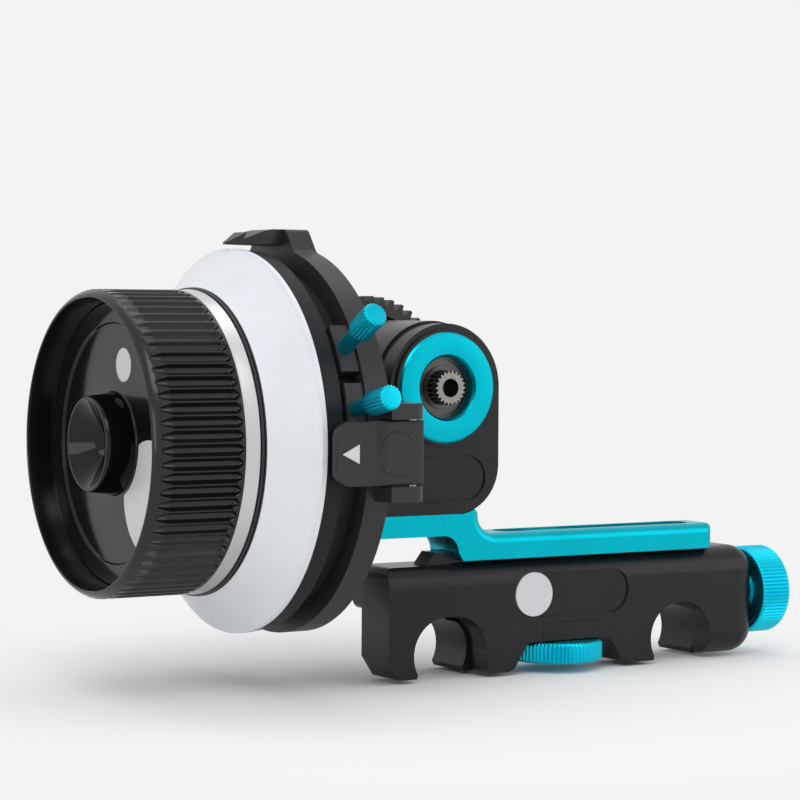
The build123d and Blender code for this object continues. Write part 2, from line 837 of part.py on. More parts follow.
with BuildPart() as gearbox_cover:
    with BuildSketch(front_plane(box_rear)):
        with BuildLine():
            Polyline(
                (pod_left + cover_inset, upper_top),
                (output_x + barrel_radius, upper_top),
                (output_x + barrel_radius, output_z),
                (output_x, pod_top),
                (pod_left + cover_inset, pod_top),
                close=True,
            )
        make_face()
    extrude(amount=cover_thickness)
    corner = gearbox_cover.edges().filter_by(Axis.Y)
    fillet(corner.sort_by_distance((output_x + barrel_radius, 0, upper_top))[0], pod_corner)
    corner = gearbox_cover.edges().filter_by(Axis.Y)
    fillet(corner.sort_by_distance((pod_left + cover_inset, 0, upper_top))[0], cover_corner)
    with BuildSketch(front_plane(box_rear)):
        with Locations((output_x, output_z)):
            Circle(barrel_radius)
    extrude(amount=cover_thickness)
    with BuildSketch(front_plane(box_rear - cover_thickness)):
        with Locations((output_x, output_z)):
            Circle(bearing_outer)
    extrude(amount=-cover_thickness, mode=Mode.SUBTRACT)
    with BuildSketch(front_plane(box_rear)):
        with Locations((output_x, output_z)):
            Circle(ring_outer + seat)
    extrude(amount=ring_sink, mode=Mode.SUBTRACT)
    with BuildSketch(front_plane(box_rear - cover_thickness)):
        with Locations((output_x, wheel_z)):
            Circle(lay_radius + running)
    extrude(amount=-lay_seat_rear, mode=Mode.SUBTRACT)
    with BuildSketch(front_plane(box_rear)):
        with Locations(*cover_screws):
            Circle(cover_screw_radius + seat)
    extrude(amount=cover_thickness, mode=Mode.SUBTRACT)
    with BuildSketch(front_plane(box_rear)):
        with Locations(*cover_screws):
            Circle(cover_screw_head + seat)
    extrude(amount=cover_head_height, mode=Mode.SUBTRACT)

with BuildPart() as cover_screw_set:
    with BuildSketch(front_plane(box_rear)):
        with Locations(*cover_screws):
            Circle(cover_screw_head)
            RegularPolygon(radius=cover_screw_hex, side_count=6, mode=Mode.SUBTRACT)
    extrude(amount=cover_head_height)
    with BuildSketch(front_plane(box_rear - cover_hex_depth)):
        with Locations(*cover_screws):
            Circle(cover_screw_radius)
    extrude(amount=cover_screw_depth - cover_hex_depth)


def trim_ring(back_y):
    """Flat ring with a bevelled mouth on the output axis; back_y is its rear face."""
    with BuildPart() as ring:
        with BuildSketch(front_plane(back_y)):
            with Locations((output_x, output_z)):
                Circle(ring_outer)
                Circle(ring_inner, mode=Mode.SUBTRACT)
        extrude(amount=ring_thickness)
    return ring


front_ring = trim_ring(box_front + ring_sink)
rear_ring = trim_ring(box_rear - ring_sink + ring_thickness)


def ball_bearing(front_y):
    """Shielded bearing on the output axis: both races stand proud of the recessed shield."""
    with BuildPart() as bearing:
        with BuildSketch(front_plane(front_y + bearing_width)):
            with Locations((output_x, output_z)):
                Circle(bearing_outer)
                Circle(bearing_bore, mode=Mode.SUBTRACT)
        extrude(amount=bearing_width)
        for face_y, inward in ((front_y, -1), (front_y + bearing_width, 1)):
            with BuildSketch(front_plane(face_y)):
                with Locations((output_x, output_z)):
                    Circle(bearing_outer - race)
                    Circle(bearing_bore + inner_race, mode=Mode.SUBTRACT)
            extrude(amount=shield_depth * inward, mode=Mode.SUBTRACT)
    return bearing


front_bearing = ball_bearing(box_front + ring_sink + face_gap)
rear_bearing = ball_bearing(box_rear - ring_sink - face_gap - bearing_width)

mitre_radius = mitre_teeth * mitre_module / 2
spur_front = wheel_y + mitre_radius + mitre_module + face_gap
spur_module = (output_z - wheel_z) / spur_teeth

with BuildPart() as output_shaft:
    shaft_rear = box_rear + gear_gap + gear_width
    with BuildSketch(front_plane(shaft_rear)):
        with Locations((output_x, output_z)):
            Circle(output_radius)
    extrude(amount=shaft_rear - output_front - spline_length)
    with BuildSketch(front_plane(output_front + spline_length)):
        with BuildLine():
            outline = toothed_outline(spline_teeth, output_radius - spline_depth, output_radius, spline_root, spline_tip)
            Polyline(*[(output_x + x, output_z + z) for x, z in outline], close=True)
        make_face()
    extrude(amount=spline_length)
    # collar between the rear bearing and the drive gear
    with BuildSketch(front_plane(box_rear + gear_gap)):
        with Locations((output_x, output_z)):
            Circle(spacer_radius)
    extrude(amount=gear_gap + ring_sink)
    with BuildSketch(front_plane(spur_front + spur_width)):
        with BuildLine():
            Polyline(
                *[(output_x + x, output_z + z) for x, z in gear_outline(spur_teeth, spur_module)], close=True
            )
        make_face()
    extrude(amount=spur_width)
    for hole_y, inward in ((output_front, -1), (shaft_rear, 1)):
        with BuildSketch(front_plane(hole_y)):
            with Locations((output_x, output_z)):
                Circle(output_hole)
        extrude(amount=output_hole_depth * inward, mode=Mode.SUBTRACT)


def mitre_gear(axis_dir, up_dir, phase, bore):
    """Straight bevel gear whose cone apex is where the wheel and layshaft axes cross."""
    apex = (output_x, wheel_y, wheel_z)
    big = Plane(origin=apex, x_dir=up_dir, z_dir=axis_dir).offset(mitre_radius)
    small = Plane(origin=apex, x_dir=up_dir, z_dir=axis_dir).offset(mitre_radius * mitre_ratio)
    outline = gear_outline(mitre_teeth, mitre_module, phase)
    with BuildPart() as gear:
        with BuildSketch(big):
            with BuildLine():
                Polyline(*outline, close=True)
            make_face()
        with BuildSketch(small):
            with BuildLine():
                Polyline(*[(x * mitre_ratio, y * mitre_ratio) for x, y in outline], close=True)
            make_face()
        loft(ruled=True)
        with BuildSketch(big):
            Circle(bore)
        extrude(amount=-mitre_radius, mode=Mode.SUBTRACT)
    return gear


mitre_input = mitre_gear((-1, 0, 0), (0, 0, 1), 0.0, spindle_nose)
mitre_lay = mitre_gear((0, 1, 0), (0, 0, 1), math.pi / mitre_teeth, lay_radius)

with BuildPart() as layshaft:
    with BuildSketch(front_plane(box_rear - cover_thickness + lay_seat_rear - lay_end_gap)):
        with Locations((output_x, wheel_z)):
            Circle(lay_radius)
    extrude(amount=box_rear - cover_thickness + lay_seat_rear - lay_end_gap - cavity_front + lay_seat_front - lay_end_gap)

with BuildPart() as lay_spur:
    with BuildSketch(front_plane(spur_front + spur_width)):
        with BuildLine():
            outline = gear_outline(spur_teeth, spur_module, math.pi / spur_teeth)
            Polyline(*[(output_x + x, wheel_z + z) for x, z in outline], close=True)
        make_face()
        with Locations((output_x, wheel_z)):
            Circle(lay_radius, mode=Mode.SUBTRACT)
    extrude(amount=spur_width)

with BuildPart() as input_bush:
    with BuildSketch(side_plane(pod_left - bush_overhang)):
        with Locations((wheel_y, wheel_z)):
            Circle(bush_radius)
            Circle(input_radius + running, mode=Mode.SUBTRACT)
    extrude(amount=bush_length + bush_overhang)

mitre_back = output_x - mitre_radius
with BuildPart() as wheel_spindle:
    with BuildSketch(side_plane(wheel_floor_back + hub_boss)):
        with Locations((wheel_y, wheel_z)):
            Circle(input_radius)
    extrude(amount=mitre_back - wheel_floor_back - hub_boss)
    with BuildSketch(side_plane(mitre_back)):
        with Locations((wheel_y, wheel_z)):
            Circle(spindle_nose)
    extrude(amount=mitre_radius * (1 - mitre_ratio))
    # collar that carries the rotor
    with BuildSketch(side_plane(disc_end - flange_thickness)):
        with Locations((wheel_y, wheel_z)):
            Circle(spindle_flange)
    extrude(amount=flange_thickness)
    with BuildSketch(side_plane(wheel_floor_back + hub_boss)):
        with Locations((wheel_y, wheel_z)):
            Circle(centre_screw_radius)
    extrude(amount=centre_hole_depth, mode=Mode.SUBTRACT)

gear_front = box_rear + gear_gap
with BuildPart() as drive_gear:
    with BuildSketch(front_plane(gear_front + gear_width)):
        with BuildLine():
            outline = gear_outline(gear_teeth, gear_module)
            Polyline(*[(output_x + x, output_z + z) for x, z in outline], close=True)
        make_face()
    extrude(amount=gear_width)
    # dished faces leave a web between rim and hub
    rim_radius = gear_teeth * gear_module / 2 - gear_rim
    for face_y, inward in ((gear_front, -1), (gear_front + gear_width, 1)):
        with BuildSketch(front_plane(face_y)):
            with Locations((output_x, output_z)):
                Circle(rim_radius)
                Circle(gear_hub, mode=Mode.SUBTRACT)
        extrude(amount=inward * (gear_width - gear_web) / 2, mode=Mode.SUBTRACT)
    with BuildSketch(front_plane(gear_front + gear_width)):
        with Locations((output_x, output_z)):
            Circle(output_radius)
    extrude(amount=gear_width, mode=Mode.SUBTRACT)

with BuildPart() as gear_screw:
    with BuildSketch(front_plane(shaft_rear + washer_thickness)):
        with Locations((output_x, output_z)):
            Circle(gear_screw_radius)
    extrude(amount=gear_screw_length)
    with BuildSketch(front_plane(shaft_rear + washer_thickness)):
        with Locations((output_x, output_z)):
            Circle(gear_screw_head)
    extrude(amount=-gear_screw_head_height)
    with BuildSketch(front_plane(shaft_rear + washer_thickness + gear_screw_head_height)):
        with Locations((output_x, output_z)):
            RegularPolygon(radius=gear_screw_hex, side_count=6)
    extrude(amount=gear_screw_hex_depth, mode=Mode.SUBTRACT)

with BuildPart() as gear_washer:
    with BuildSketch(front_plane(shaft_rear + washer_thickness)):
        with Locations((output_x, output_z)):
            Circle(gear_hub - washer_thickness)
            Circle(gear_screw_radius + 3 * running, mode=Mode.SUBTRACT)
    extrude(amount=washer_thickness)

# ================= fixed plate, stops and pointers =================


def polar_point(radius, angle):
    """Point (y, z) about the wheel axis; angle 0 faces the viewer and grows upwards."""
    turn = math.radians(angle)
    return (wheel_y - radius * math.cos(turn), wheel_z + radius * math.sin(turn))


with BuildPart() as back_plate:
    with BuildSketch(side_plane(plate_left)):
        with Locations((wheel_y, wheel_z)):
            Circle(plate_radius)
        with BuildLine():
            lug_foot_z = wheel_z + math.sqrt(plate_radius**2 - lug_foot_half**2)
            Polyline(
                (wheel_y - lug_top_half, plate_lug_top),
                (wheel_y + lug_top_half, plate_lug_top),
                (wheel_y + lug_foot_half, lug_foot_z),
                (wheel_y, wheel_z),
                (wheel_y - lug_foot_half, lug_foot_z),
                close=True,
            )
        make_face()
    extrude(amount=plate_right - plate_left)
    for side in (-1, 1):
        for half, z, radius in ((lug_top_half, plate_lug_top, lug_corner), (lug_foot_half, lug_foot_z, lug_root)):
            along = back_plate.edges().filter_by(Axis.X)
            fillet(along.sort_by_distance((plate_left, wheel_y + side * half, z))[0], radius)
    with BuildSketch(side_plane(track_left)):
        with Locations((wheel_y, wheel_z)):
            Circle(track_radius)
    extrude(amount=plate_left - track_left)
    # dish behind the rotor's hub, and the bore for the bush
    with BuildSketch(side_plane(track_left)):
        with Locations((wheel_y, wheel_z)):
            Circle(track_radius - dish_rim)
    extrude(amount=dish_depth, mode=Mode.SUBTRACT)
    with BuildSketch(side_plane(plate_left)):
        with Locations((wheel_y, wheel_z)):
            Circle(bush_radius)
    extrude(amount=plate_right - plate_left, mode=Mode.SUBTRACT)
    # hinge lugs at the near edge
    lug_lengths = ((flap_top + lug_gap, lug_height), (flap_bottom - lug_gap - lug_height, lug_height))
    for lug_low, lug_size in lug_lengths:
        with BuildSketch(Plane.XY.offset(lug_low)):
            with Locations((hinge_x, hinge_y)):
                Circle(knuckle_radius)
            with BuildLine():
                Polyline(
                    (plate_right - lug_overlap, hinge_y - knuckle_radius),
                    (hinge_x, hinge_y - knuckle_radius),
                    (hinge_x + knuckle_radius, hinge_y),
                    (hinge_x + knuckle_radius, hinge_y + lug_root_back),
                    (plate_right - lug_overlap, hinge_y + lug_root_back),
                    close=True,
                )
            make_face()
        extrude(amount=lug_size)
    with BuildSketch(Plane.XY.offset(flap_bottom - lug_gap - lug_height)):
        with Locations((hinge_x, hinge_y)):
            Circle(hinge_pin)
    extrude(amount=flap_top - flap_bottom + 2 * lug_gap + 2 * lug_height, mode=Mode.SUBTRACT)
    # pocket that takes the foot of the top pointer
    with BuildSketch(Plane.XY.offset(plate_lug_top)):
        with Locations((plate_left + pointer_foot / 2, wheel_y)):
            Rectangle(pointer_foot + 2 * seat, pointer_width + 2 * seat)
    extrude(amount=-(plate_lug_top - pointer_bottom), mode=Mode.SUBTRACT)

dish_floor = track_left + dish_depth
plate_screw_bottom = plate_right + plate_screw_reach
with BuildPart() as plate_screws:
    with BuildSketch(side_plane(dish_floor - plate_screw_head_height)):
        with Locations((wheel_y, wheel_z)):
            with PolarLocations(plate_screw_pcd, plate_screw_count, start_angle=45):
                Circle(plate_screw_head)
                RegularPolygon(radius=plate_screw_hex, side_count=6, mode=Mode.SUBTRACT)
    extrude(amount=plate_screw_head_height)
    with BuildSketch(side_plane(dish_floor - plate_screw_hex_depth)):
        with Locations((wheel_y, wheel_z)):
            with PolarLocations(plate_screw_pcd, plate_screw_count, start_angle=45):
                Circle(plate_screw_radius)
    extrude(amount=plate_screw_bottom - dish_floor + plate_screw_hex_depth)

for holed in (back_plate, gearbox_housing):
    with holed:
        with BuildSketch(side_plane(dish_floor - plate_screw_hex_depth)):
            with Locations((wheel_y, wheel_z)):
                with PolarLocations(plate_screw_pcd, plate_screw_count, start_angle=45):
                    Circle(plate_screw_radius)
        extrude(amount=plate_screw_bottom - dish_floor + plate_screw_hex_depth, mode=Mode.SUBTRACT)

with BuildPart() as top_pointer:
    with BuildSketch(front_plane(wheel_y + pointer_width / 2)):
        with BuildLine():
            Polyline(
                (pointer_tip, pointer_bottom),
                (pointer_tip, pointer_bottom + pointer_tip_rise),
                (pointer_fin, pointer_bottom + pointer_fin_rise),
                (pointer_notch, pointer_bottom + pointer_notch_rise),
                (pointer_shoulder, plate_lug_top - pointer_shoulder_drop),
                (plate_left - pointer_back, plate_lug_top),
                (plate_left + pointer_foot, plate_lug_top),
                (plate_left + pointer_foot, pointer_bottom),
                close=True,
            )
        make_face()
    extrude(amount=pointer_width)
    # arrow point in plan
    for side in (-1, 1):
        with BuildSketch(Plane.XY.offset(pointer_bottom)):
            with BuildLine():
                Polyline(
                    (pointer_tip, wheel_y + side * pointer_tip_half),
                    (pointer_shoulder, wheel_y + side * pointer_width / 2),
                    (pointer_tip, wheel_y + side * pointer_width / 2),
                    close=True,
                )
            make_face()
        extrude(amount=plate_lug_top - pointer_bottom, mode=Mode.SUBTRACT)


def stop_block(angle):
    """Stop that slides round the plate's track, with a hole for its thumbscrew."""
    with BuildPart() as block:
        with BuildSketch(side_plane(track_left + stop_slack)):
            with BuildLine():
                low = angle - stop_width / 2
                high = angle + stop_width / 2
                inner = track_radius + running
                ThreePointArc(
                    polar_point(stop_outer, low), polar_point(stop_outer, angle), polar_point(stop_outer, high)
                )
                Line(polar_point(stop_outer, high), polar_point(inner, high))
                ThreePointArc(
                    polar_point(inner, high), polar_point(inner, angle), polar_point(inner, low)
                )
                Line(polar_point(inner, low), polar_point(stop_outer, low))
            make_face()
        extrude(amount=plate_left - track_left - 2 * stop_slack)
        with BuildSketch(radial_plane(angle, track_radius - hole_overrun)):
            Circle(stop_shank + running)
        extrude(amount=stop_outer - track_radius + 2 * hole_overrun, mode=Mode.SUBTRACT)
    return block


def radial_plane(angle, radius):
    """Plane across a spoke of the wheel at the stops' track; it extrudes outwards."""
    turn = math.radians(angle)
    y, z = polar_point(radius, angle)
    return Plane(
        origin=(stop_x, y, z), x_dir=(1, 0, 0), z_dir=(0, -math.cos(turn), math.sin(turn))
    )


def stop_screw(angle):
    """Thumbscrew: shank in the block, tapered neck and a fluted head."""
    with BuildPart() as screw:
        with BuildSketch(radial_plane(angle, track_radius + stop_slack)):
            Circle(stop_shank)
        extrude(amount=stop_neck_start - track_radius)
        with BuildSketch(radial_plane(angle, stop_neck_start)):
            Circle(stop_shank + stop_shoulder)
        with BuildSketch(radial_plane(angle, stop_head_start)):
            Circle(stop_neck)
        loft()
        with BuildSketch(radial_plane(angle, stop_head_start)):
            with BuildLine():
                Polyline(
                    *toothed_outline(
                        stop_flutes, stop_head_radius - stop_flute_depth, stop_head_radius, knurl_root, knurl_tip
                    ),
                    close=True,
                )
            make_face()
        extrude(amount=stop_head_end - stop_head_start)
    return screw


stop_a = stop_block(stop_a_angle)
stop_b = stop_block(stop_b_angle)
stop_a_screw = stop_screw(stop_a_angle)
stop_b_screw = stop_screw(stop_b_angle)

mark_z = (flap_bottom + flap_top) / 2
mark_root = flap_left + mark_inset + mark_length
mark_outline = (
    (flap_left + mark_inset, mark_z), (mark_root, mark_z + mark_half), (mark_root, mark_z - mark_half)
)

with BuildPart() as pointer_flap:
    with BuildSketch(front_plane(flap_front + flap_thickness)):
        with Locations(((flap_left + hinge_x) / 2, (flap_bottom + flap_top) / 2)):
            Rectangle(hinge_x - flap_left, flap_top - flap_bottom)
    extrude(amount=flap_thickness)
    fillet(pointer_flap.edges().filter_by(Axis.Y).group_by(Axis.X)[0], flap_corner)
    with BuildSketch(Plane.XY.offset(flap_bottom)):
        with Locations((hinge_x, hinge_y)):
            Circle(knuckle_radius)
    extrude(amount=flap_top - flap_bottom)
    with BuildSketch(Plane.XY.offset(flap_bottom)):
        with Locations((hinge_x, hinge_y)):
            Circle(hinge_pin + running)
    extrude(amount=flap_top - flap_bottom, mode=Mode.SUBTRACT)
    # hollow for the white pointer mark
    with BuildSketch(front_plane(flap_front)):
        with BuildLine():
            Polyline(*mark_outline, close=True)
        make_face()
    extrude(amount=-mark_recess, mode=Mode.SUBTRACT)

with BuildPart() as pointer_mark:
    with BuildSketch(front_plane(flap_front + mark_recess)):
        with BuildLine():
            Polyline(*mark_outline, close=True)
        make_face()
    extrude(amount=mark_recess + mark_proud)

with BuildPart() as hinge_rod:
    with BuildSketch(Plane.XY.offset(flap_bottom - lug_gap - lug_height)):
        with Locations((hinge_x, hinge_y)):
            Circle(hinge_pin)
    extrude(amount=flap_top - flap_bottom + 2 * lug_gap + 2 * lug_height)

# ================= handwheel =================

with BuildPart() as handwheel_grip:
    with BuildSketch(wheel_section):
        with BuildLine():
            Polyline(
                (wheel_front, wheel_inner),
                (wheel_front, wheel_radius - shoulder_height),
                (wheel_front + shoulder_length, wheel_radius),
                (grip_end, wheel_radius),
                (grip_end, wheel_inner),
                close=True,
            )
        make_face()
    revolve(axis=wheel_axis)
    rib_start = wheel_front + rib_front_land
    rib_length = grip_end - rib_rear_land - rib_start
    with BuildSketch(side_plane(rib_start)):
        with Locations((wheel_y, wheel_z)):
            with PolarLocations(wheel_radius, rib_count):
                Rectangle(2 * rib_depth, rib_gap)
    extrude(amount=rib_length, mode=Mode.SUBTRACT)

with BuildPart() as handwheel_core:
    with BuildSketch(wheel_section):
        with BuildLine():
            Polyline(
                (wheel_front, 0),
                (wheel_front, hub_front_radius),
                (wheel_floor, hub_base_radius),
                (wheel_floor, wheel_inner),
                (wheel_floor_back, wheel_inner),
                (wheel_floor_back, wheel_inner - core_step),
                (wheel_floor_back, hub_base_radius),
                (wheel_floor_back + hub_boss, hub_base_radius - hub_boss_step),
                (wheel_floor_back + hub_boss, 0),
                close=True,
            )
        make_face()
    revolve(axis=wheel_axis)
    # funnel and square socket for a crank, then the screw hole
    with BuildSketch(side_plane(wheel_front)):
        with Locations((wheel_y, wheel_z)):
            Circle(funnel_radius)
    extrude(amount=funnel_depth, taper=funnel_taper, mode=Mode.SUBTRACT)
    with BuildSketch(side_plane(wheel_front)):
        with Locations((wheel_y, wheel_z)):
            Rectangle(socket_side, socket_side)
    extrude(amount=funnel_depth + socket_depth, mode=Mode.SUBTRACT)
    with BuildSketch(side_plane(wheel_front)):
        with Locations((wheel_y, wheel_z)):
            Circle(centre_screw_radius)
    extrude(amount=wheel_floor_back + hub_boss - wheel_front, mode=Mode.SUBTRACT)

with BuildPart() as centre_screw:
    screw_seat = wheel_front + funnel_depth + socket_depth
    with BuildSketch(side_plane(screw_seat)):
        with Locations((wheel_y, wheel_z)):
            Circle(centre_screw_radius)
    extrude(amount=wheel_floor_back + hub_boss - screw_seat + centre_screw_reach)
    with BuildSketch(side_plane(screw_seat - centre_head_height)):
        with Locations((wheel_y, wheel_z)):
            Circle(centre_screw_head)
            RegularPolygon(radius=centre_hex, side_count=6, mode=Mode.SUBTRACT)
    extrude(amount=centre_head_height)
    with BuildSketch(side_plane(screw_seat - centre_hex_floor)):
        with Locations((wheel_y, wheel_z)):
            Circle(centre_screw_head - centre_hex_wall)
    extrude(amount=centre_hex_floor)

silver_ring = wheel_ring(
    (
        (grip_end, wheel_inner),
        (grip_end, silver_front_radius),
        (silver_end, silver_rear_radius),
        (silver_end, wheel_inner),
    )
)
dark_ring = wheel_ring(
    (
        (silver_end, wheel_inner),
        (silver_end, dark_ring_radius),
        (dark_ring_end, dark_ring_radius),
        (dark_ring_end, wheel_inner),
    )
)
marking_disc = wheel_ring(
    (
        (dark_ring_end, wheel_inner),
        (dark_ring_end, dark_ring_radius),
        (disc_end - disc_edge - disc_flare_run, disc_radius - disc_flare_drop),
        (disc_end - disc_edge + disc_lip_run, disc_radius - disc_lip_drop),
        (disc_end, disc_radius),
        (disc_end, wheel_inner),
    )
)

with BuildPart() as rotor_ring:
    with BuildSketch(wheel_section):
        with BuildLine():
            Polyline(
                (disc_end, rotor_bore),
                (disc_end, wheel_inner - spigot_wall),
                (spigot_end, wheel_inner - spigot_wall),
                (spigot_end, wheel_inner),
                (disc_end, wheel_inner),
                (disc_end, disc_radius),
                (rotor_end, rotor_radius),
                (rotor_end, wheel_inner),
                (disc_end + rotor_web, wheel_inner - spigot_wall),
                (disc_end + rotor_web, rotor_bore),
                close=True,
            )
        make_face()
    revolve(axis=wheel_axis)
    # bore on the spindle
    with BuildSketch(side_plane(disc_end)):
        with Locations((wheel_y, wheel_z)):
            Circle(input_radius)
    extrude(amount=rotor_web, mode=Mode.SUBTRACT)
    # tab that meets the stops
    with BuildSketch(side_plane(rotor_end - tab_root)):
        with Locations(polar_point((tab_inner + tab_outer) / 2, tab_angle)):
            Rectangle(tab_outer - tab_inner, tab_width, rotation=-tab_angle)
    extrude(amount=tab_depth + tab_root)

nodes = {
    "clamp_body": clamp_body,
    "badge_disc": badge_disc,
    "nut_cover": nut_cover,
    "jaw_slider": jaw_slider,
    "jaw_guide_screws": jaw_guide_screws,
    "clamp_screw": clamp_screw,
    "clamp_knob": clamp_knob,
    "screw_clip": screw_clip,
    "focus_arm": focus_arm,
    "arm_screws": arm_screws,
    "lock_stud": lock_stud,
    "lock_wheel": lock_wheel,
    "gearbox_housing": gearbox_housing,
    "gearbox_cover": gearbox_cover,
    "cover_screws": cover_screw_set,
    "front_ring": front_ring,
    "rear_ring": rear_ring,
    "front_bearing": front_bearing,
    "rear_bearing": rear_bearing,
    "output_shaft": output_shaft,
    "mitre_input": mitre_input,
    "mitre_lay": mitre_lay,
    "layshaft": layshaft,
    "lay_spur": lay_spur,
    "input_bush": input_bush,
    "wheel_spindle": wheel_spindle,
    "drive_gear": drive_gear,
    "gear_screw": gear_screw,
    "gear_washer": gear_washer,
    "back_plate": back_plate,
    "plate_screws": plate_screws,
    "top_pointer": top_pointer,
    "stop_a": stop_a,
    "stop_b": stop_b,
    "stop_a_screw": stop_a_screw,
    "stop_b_screw": stop_b_screw,
    "pointer_flap": pointer_flap,
    "pointer_mark": pointer_mark,
    "hinge_pin": hinge_rod,
    "handwheel_grip": handwheel_grip,
    "handwheel_core": handwheel_core,
    "centre_screw": centre_screw,
    "silver_ring": silver_ring,
    "dark_ring": dark_ring,
    "marking_disc": marking_disc,
    "rotor_ring": rotor_ring,
}
for name, node in nodes.items():
    node.part.label = name
    export_step(node.part, f"parts/{name}.step")
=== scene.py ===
import json
import math

import bmesh
import bpy
import numpy as np
from mathutils import Matrix, Vector


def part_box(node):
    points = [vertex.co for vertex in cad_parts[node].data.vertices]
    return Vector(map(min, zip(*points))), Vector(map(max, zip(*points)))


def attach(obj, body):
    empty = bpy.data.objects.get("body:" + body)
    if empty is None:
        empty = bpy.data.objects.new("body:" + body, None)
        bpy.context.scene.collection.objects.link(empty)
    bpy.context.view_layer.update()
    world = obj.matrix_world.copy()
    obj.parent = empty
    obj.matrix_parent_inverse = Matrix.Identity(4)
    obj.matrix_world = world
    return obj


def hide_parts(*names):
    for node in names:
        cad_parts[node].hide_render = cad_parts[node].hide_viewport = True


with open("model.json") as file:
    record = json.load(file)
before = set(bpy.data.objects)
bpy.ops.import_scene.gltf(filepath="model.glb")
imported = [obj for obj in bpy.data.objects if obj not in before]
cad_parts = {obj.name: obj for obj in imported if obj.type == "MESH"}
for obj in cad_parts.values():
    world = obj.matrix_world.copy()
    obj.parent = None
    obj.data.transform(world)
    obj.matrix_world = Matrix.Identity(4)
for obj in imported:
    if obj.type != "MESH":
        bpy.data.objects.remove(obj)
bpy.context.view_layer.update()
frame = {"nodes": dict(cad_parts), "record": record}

mm = 0.001
bodies = frame["record"]["behaviour"]["bodies"]
bodyOf = {node: body for body, members in bodies.items() for node in members}


def nodeSpan(node):  # lowest and highest corner of a CAD piece, in millimetres
    low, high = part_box(node)
    return np.array(low) / mm, np.array(high) / mm


def nodeMiddle(node):
    low, high = nodeSpan(node)
    return (low + high) / 2


# the axes that the wheel and the drive shaft turn on: a point, the way along, and two ways across
spindleY, spindleZ = nodeMiddle("silver_ring")[1:]
outputX, outputZ = nodeMiddle("front_ring")[::2]
wheelAxis = ((0, spindleY, spindleZ), (1, 0, 0), (0, -1, 0), (0, 0, 1))
outputAxis = ((outputX, 0, outputZ), (0, 1, 0), (1, 0, 0), (0, 0, 1))
print("frame loaded:", len(frame["nodes"]), "pieces")

noiseDims = dict(low=0.3, high=0.7, cloudScale=90.0, cloudDetail=3.0, grainDetail=2.0, edgeSamples=3)


def newMaterial(name):
    material = bpy.data.materials.new(name)
    material.use_nodes = True
    return material, material.node_tree.nodes, material.node_tree.links


def speckle(nodes, links, scale, detail, stretch=(1, 1, 1)):
    # noise on Object coordinates, squeezed along an axis when stretch isn't even
    place = nodes.new("ShaderNodeTexCoord")
    mapping = nodes.new("ShaderNodeMapping")
    mapping.inputs["Scale"].default_value = stretch
    noise = nodes.new("ShaderNodeTexNoise")
    noise.inputs["Scale"].default_value = scale
    noise.inputs["Detail"].default_value = detail
    links.new(place.outputs["Object"], mapping.inputs["Vector"])
    links.new(mapping.outputs["Vector"], noise.inputs["Vector"])
    return noise


def spread(nodes, links, source, low, high):
    # carries the noise's usual range onto the span low to high
    span = nodes.new("ShaderNodeMapRange")
    span.inputs["From Min"].default_value = noiseDims["low"]
    span.inputs["From Max"].default_value = noiseDims["high"]
    span.inputs["To Min"].default_value = low
    span.inputs["To Max"].default_value = high
    links.new(source, span.inputs["Value"])
    return span.outputs["Result"]


def finishMaterial(name, look):
    # one Principled surface: colour mottled between two tones, roughness that wanders,
    # fine grain as bump over edges that the Bevel node rounds off
    material, nodes, links = newMaterial(name)
    shader = nodes["Principled BSDF"]
    shader.inputs["Metallic"].default_value = look["metallic"]
    shader.inputs["Specular IOR Level"].default_value = look.get("specular", 0.5)
    cloud = speckle(nodes, links, noiseDims["cloudScale"], noiseDims["cloudDetail"])
    stretch = look.get("stretch", (1, 1, 1))
    grain = speckle(nodes, links, look["grainScale"], noiseDims["grainDetail"], stretch)
    ramp = nodes.new("ShaderNodeValToRGB")
    ramp.color_ramp.elements[0].position = noiseDims["low"]
    ramp.color_ramp.elements[1].position = noiseDims["high"]
    ramp.color_ramp.elements[0].color = (*look["dark"], 1)
    ramp.color_ramp.elements[1].color = (*look["light"], 1)
    links.new(cloud.outputs["Fac"], ramp.inputs["Fac"])
    links.new(ramp.outputs["Color"], shader.inputs["Base Color"])
    roughness = spread(nodes, links, grain.outputs["Fac"], *look["roughness"])
    links.new(roughness, shader.inputs["Roughness"])
    edge = nodes.new("ShaderNodeBevel")
    edge.samples = noiseDims["edgeSamples"]
    edge.inputs["Radius"].default_value = look["edge"] * mm
    bump = nodes.new("ShaderNodeBump")
    bump.inputs["Strength"].default_value = look["bump"]
    bump.inputs["Distance"].default_value = look["bumpHeight"] * mm
    links.new(grain.outputs["Fac"], bump.inputs["Height"])
    links.new(edge.outputs["Normal"], bump.inputs["Normal"])
    links.new(bump.outputs["Normal"], shader.inputs["Normal"])
    return material


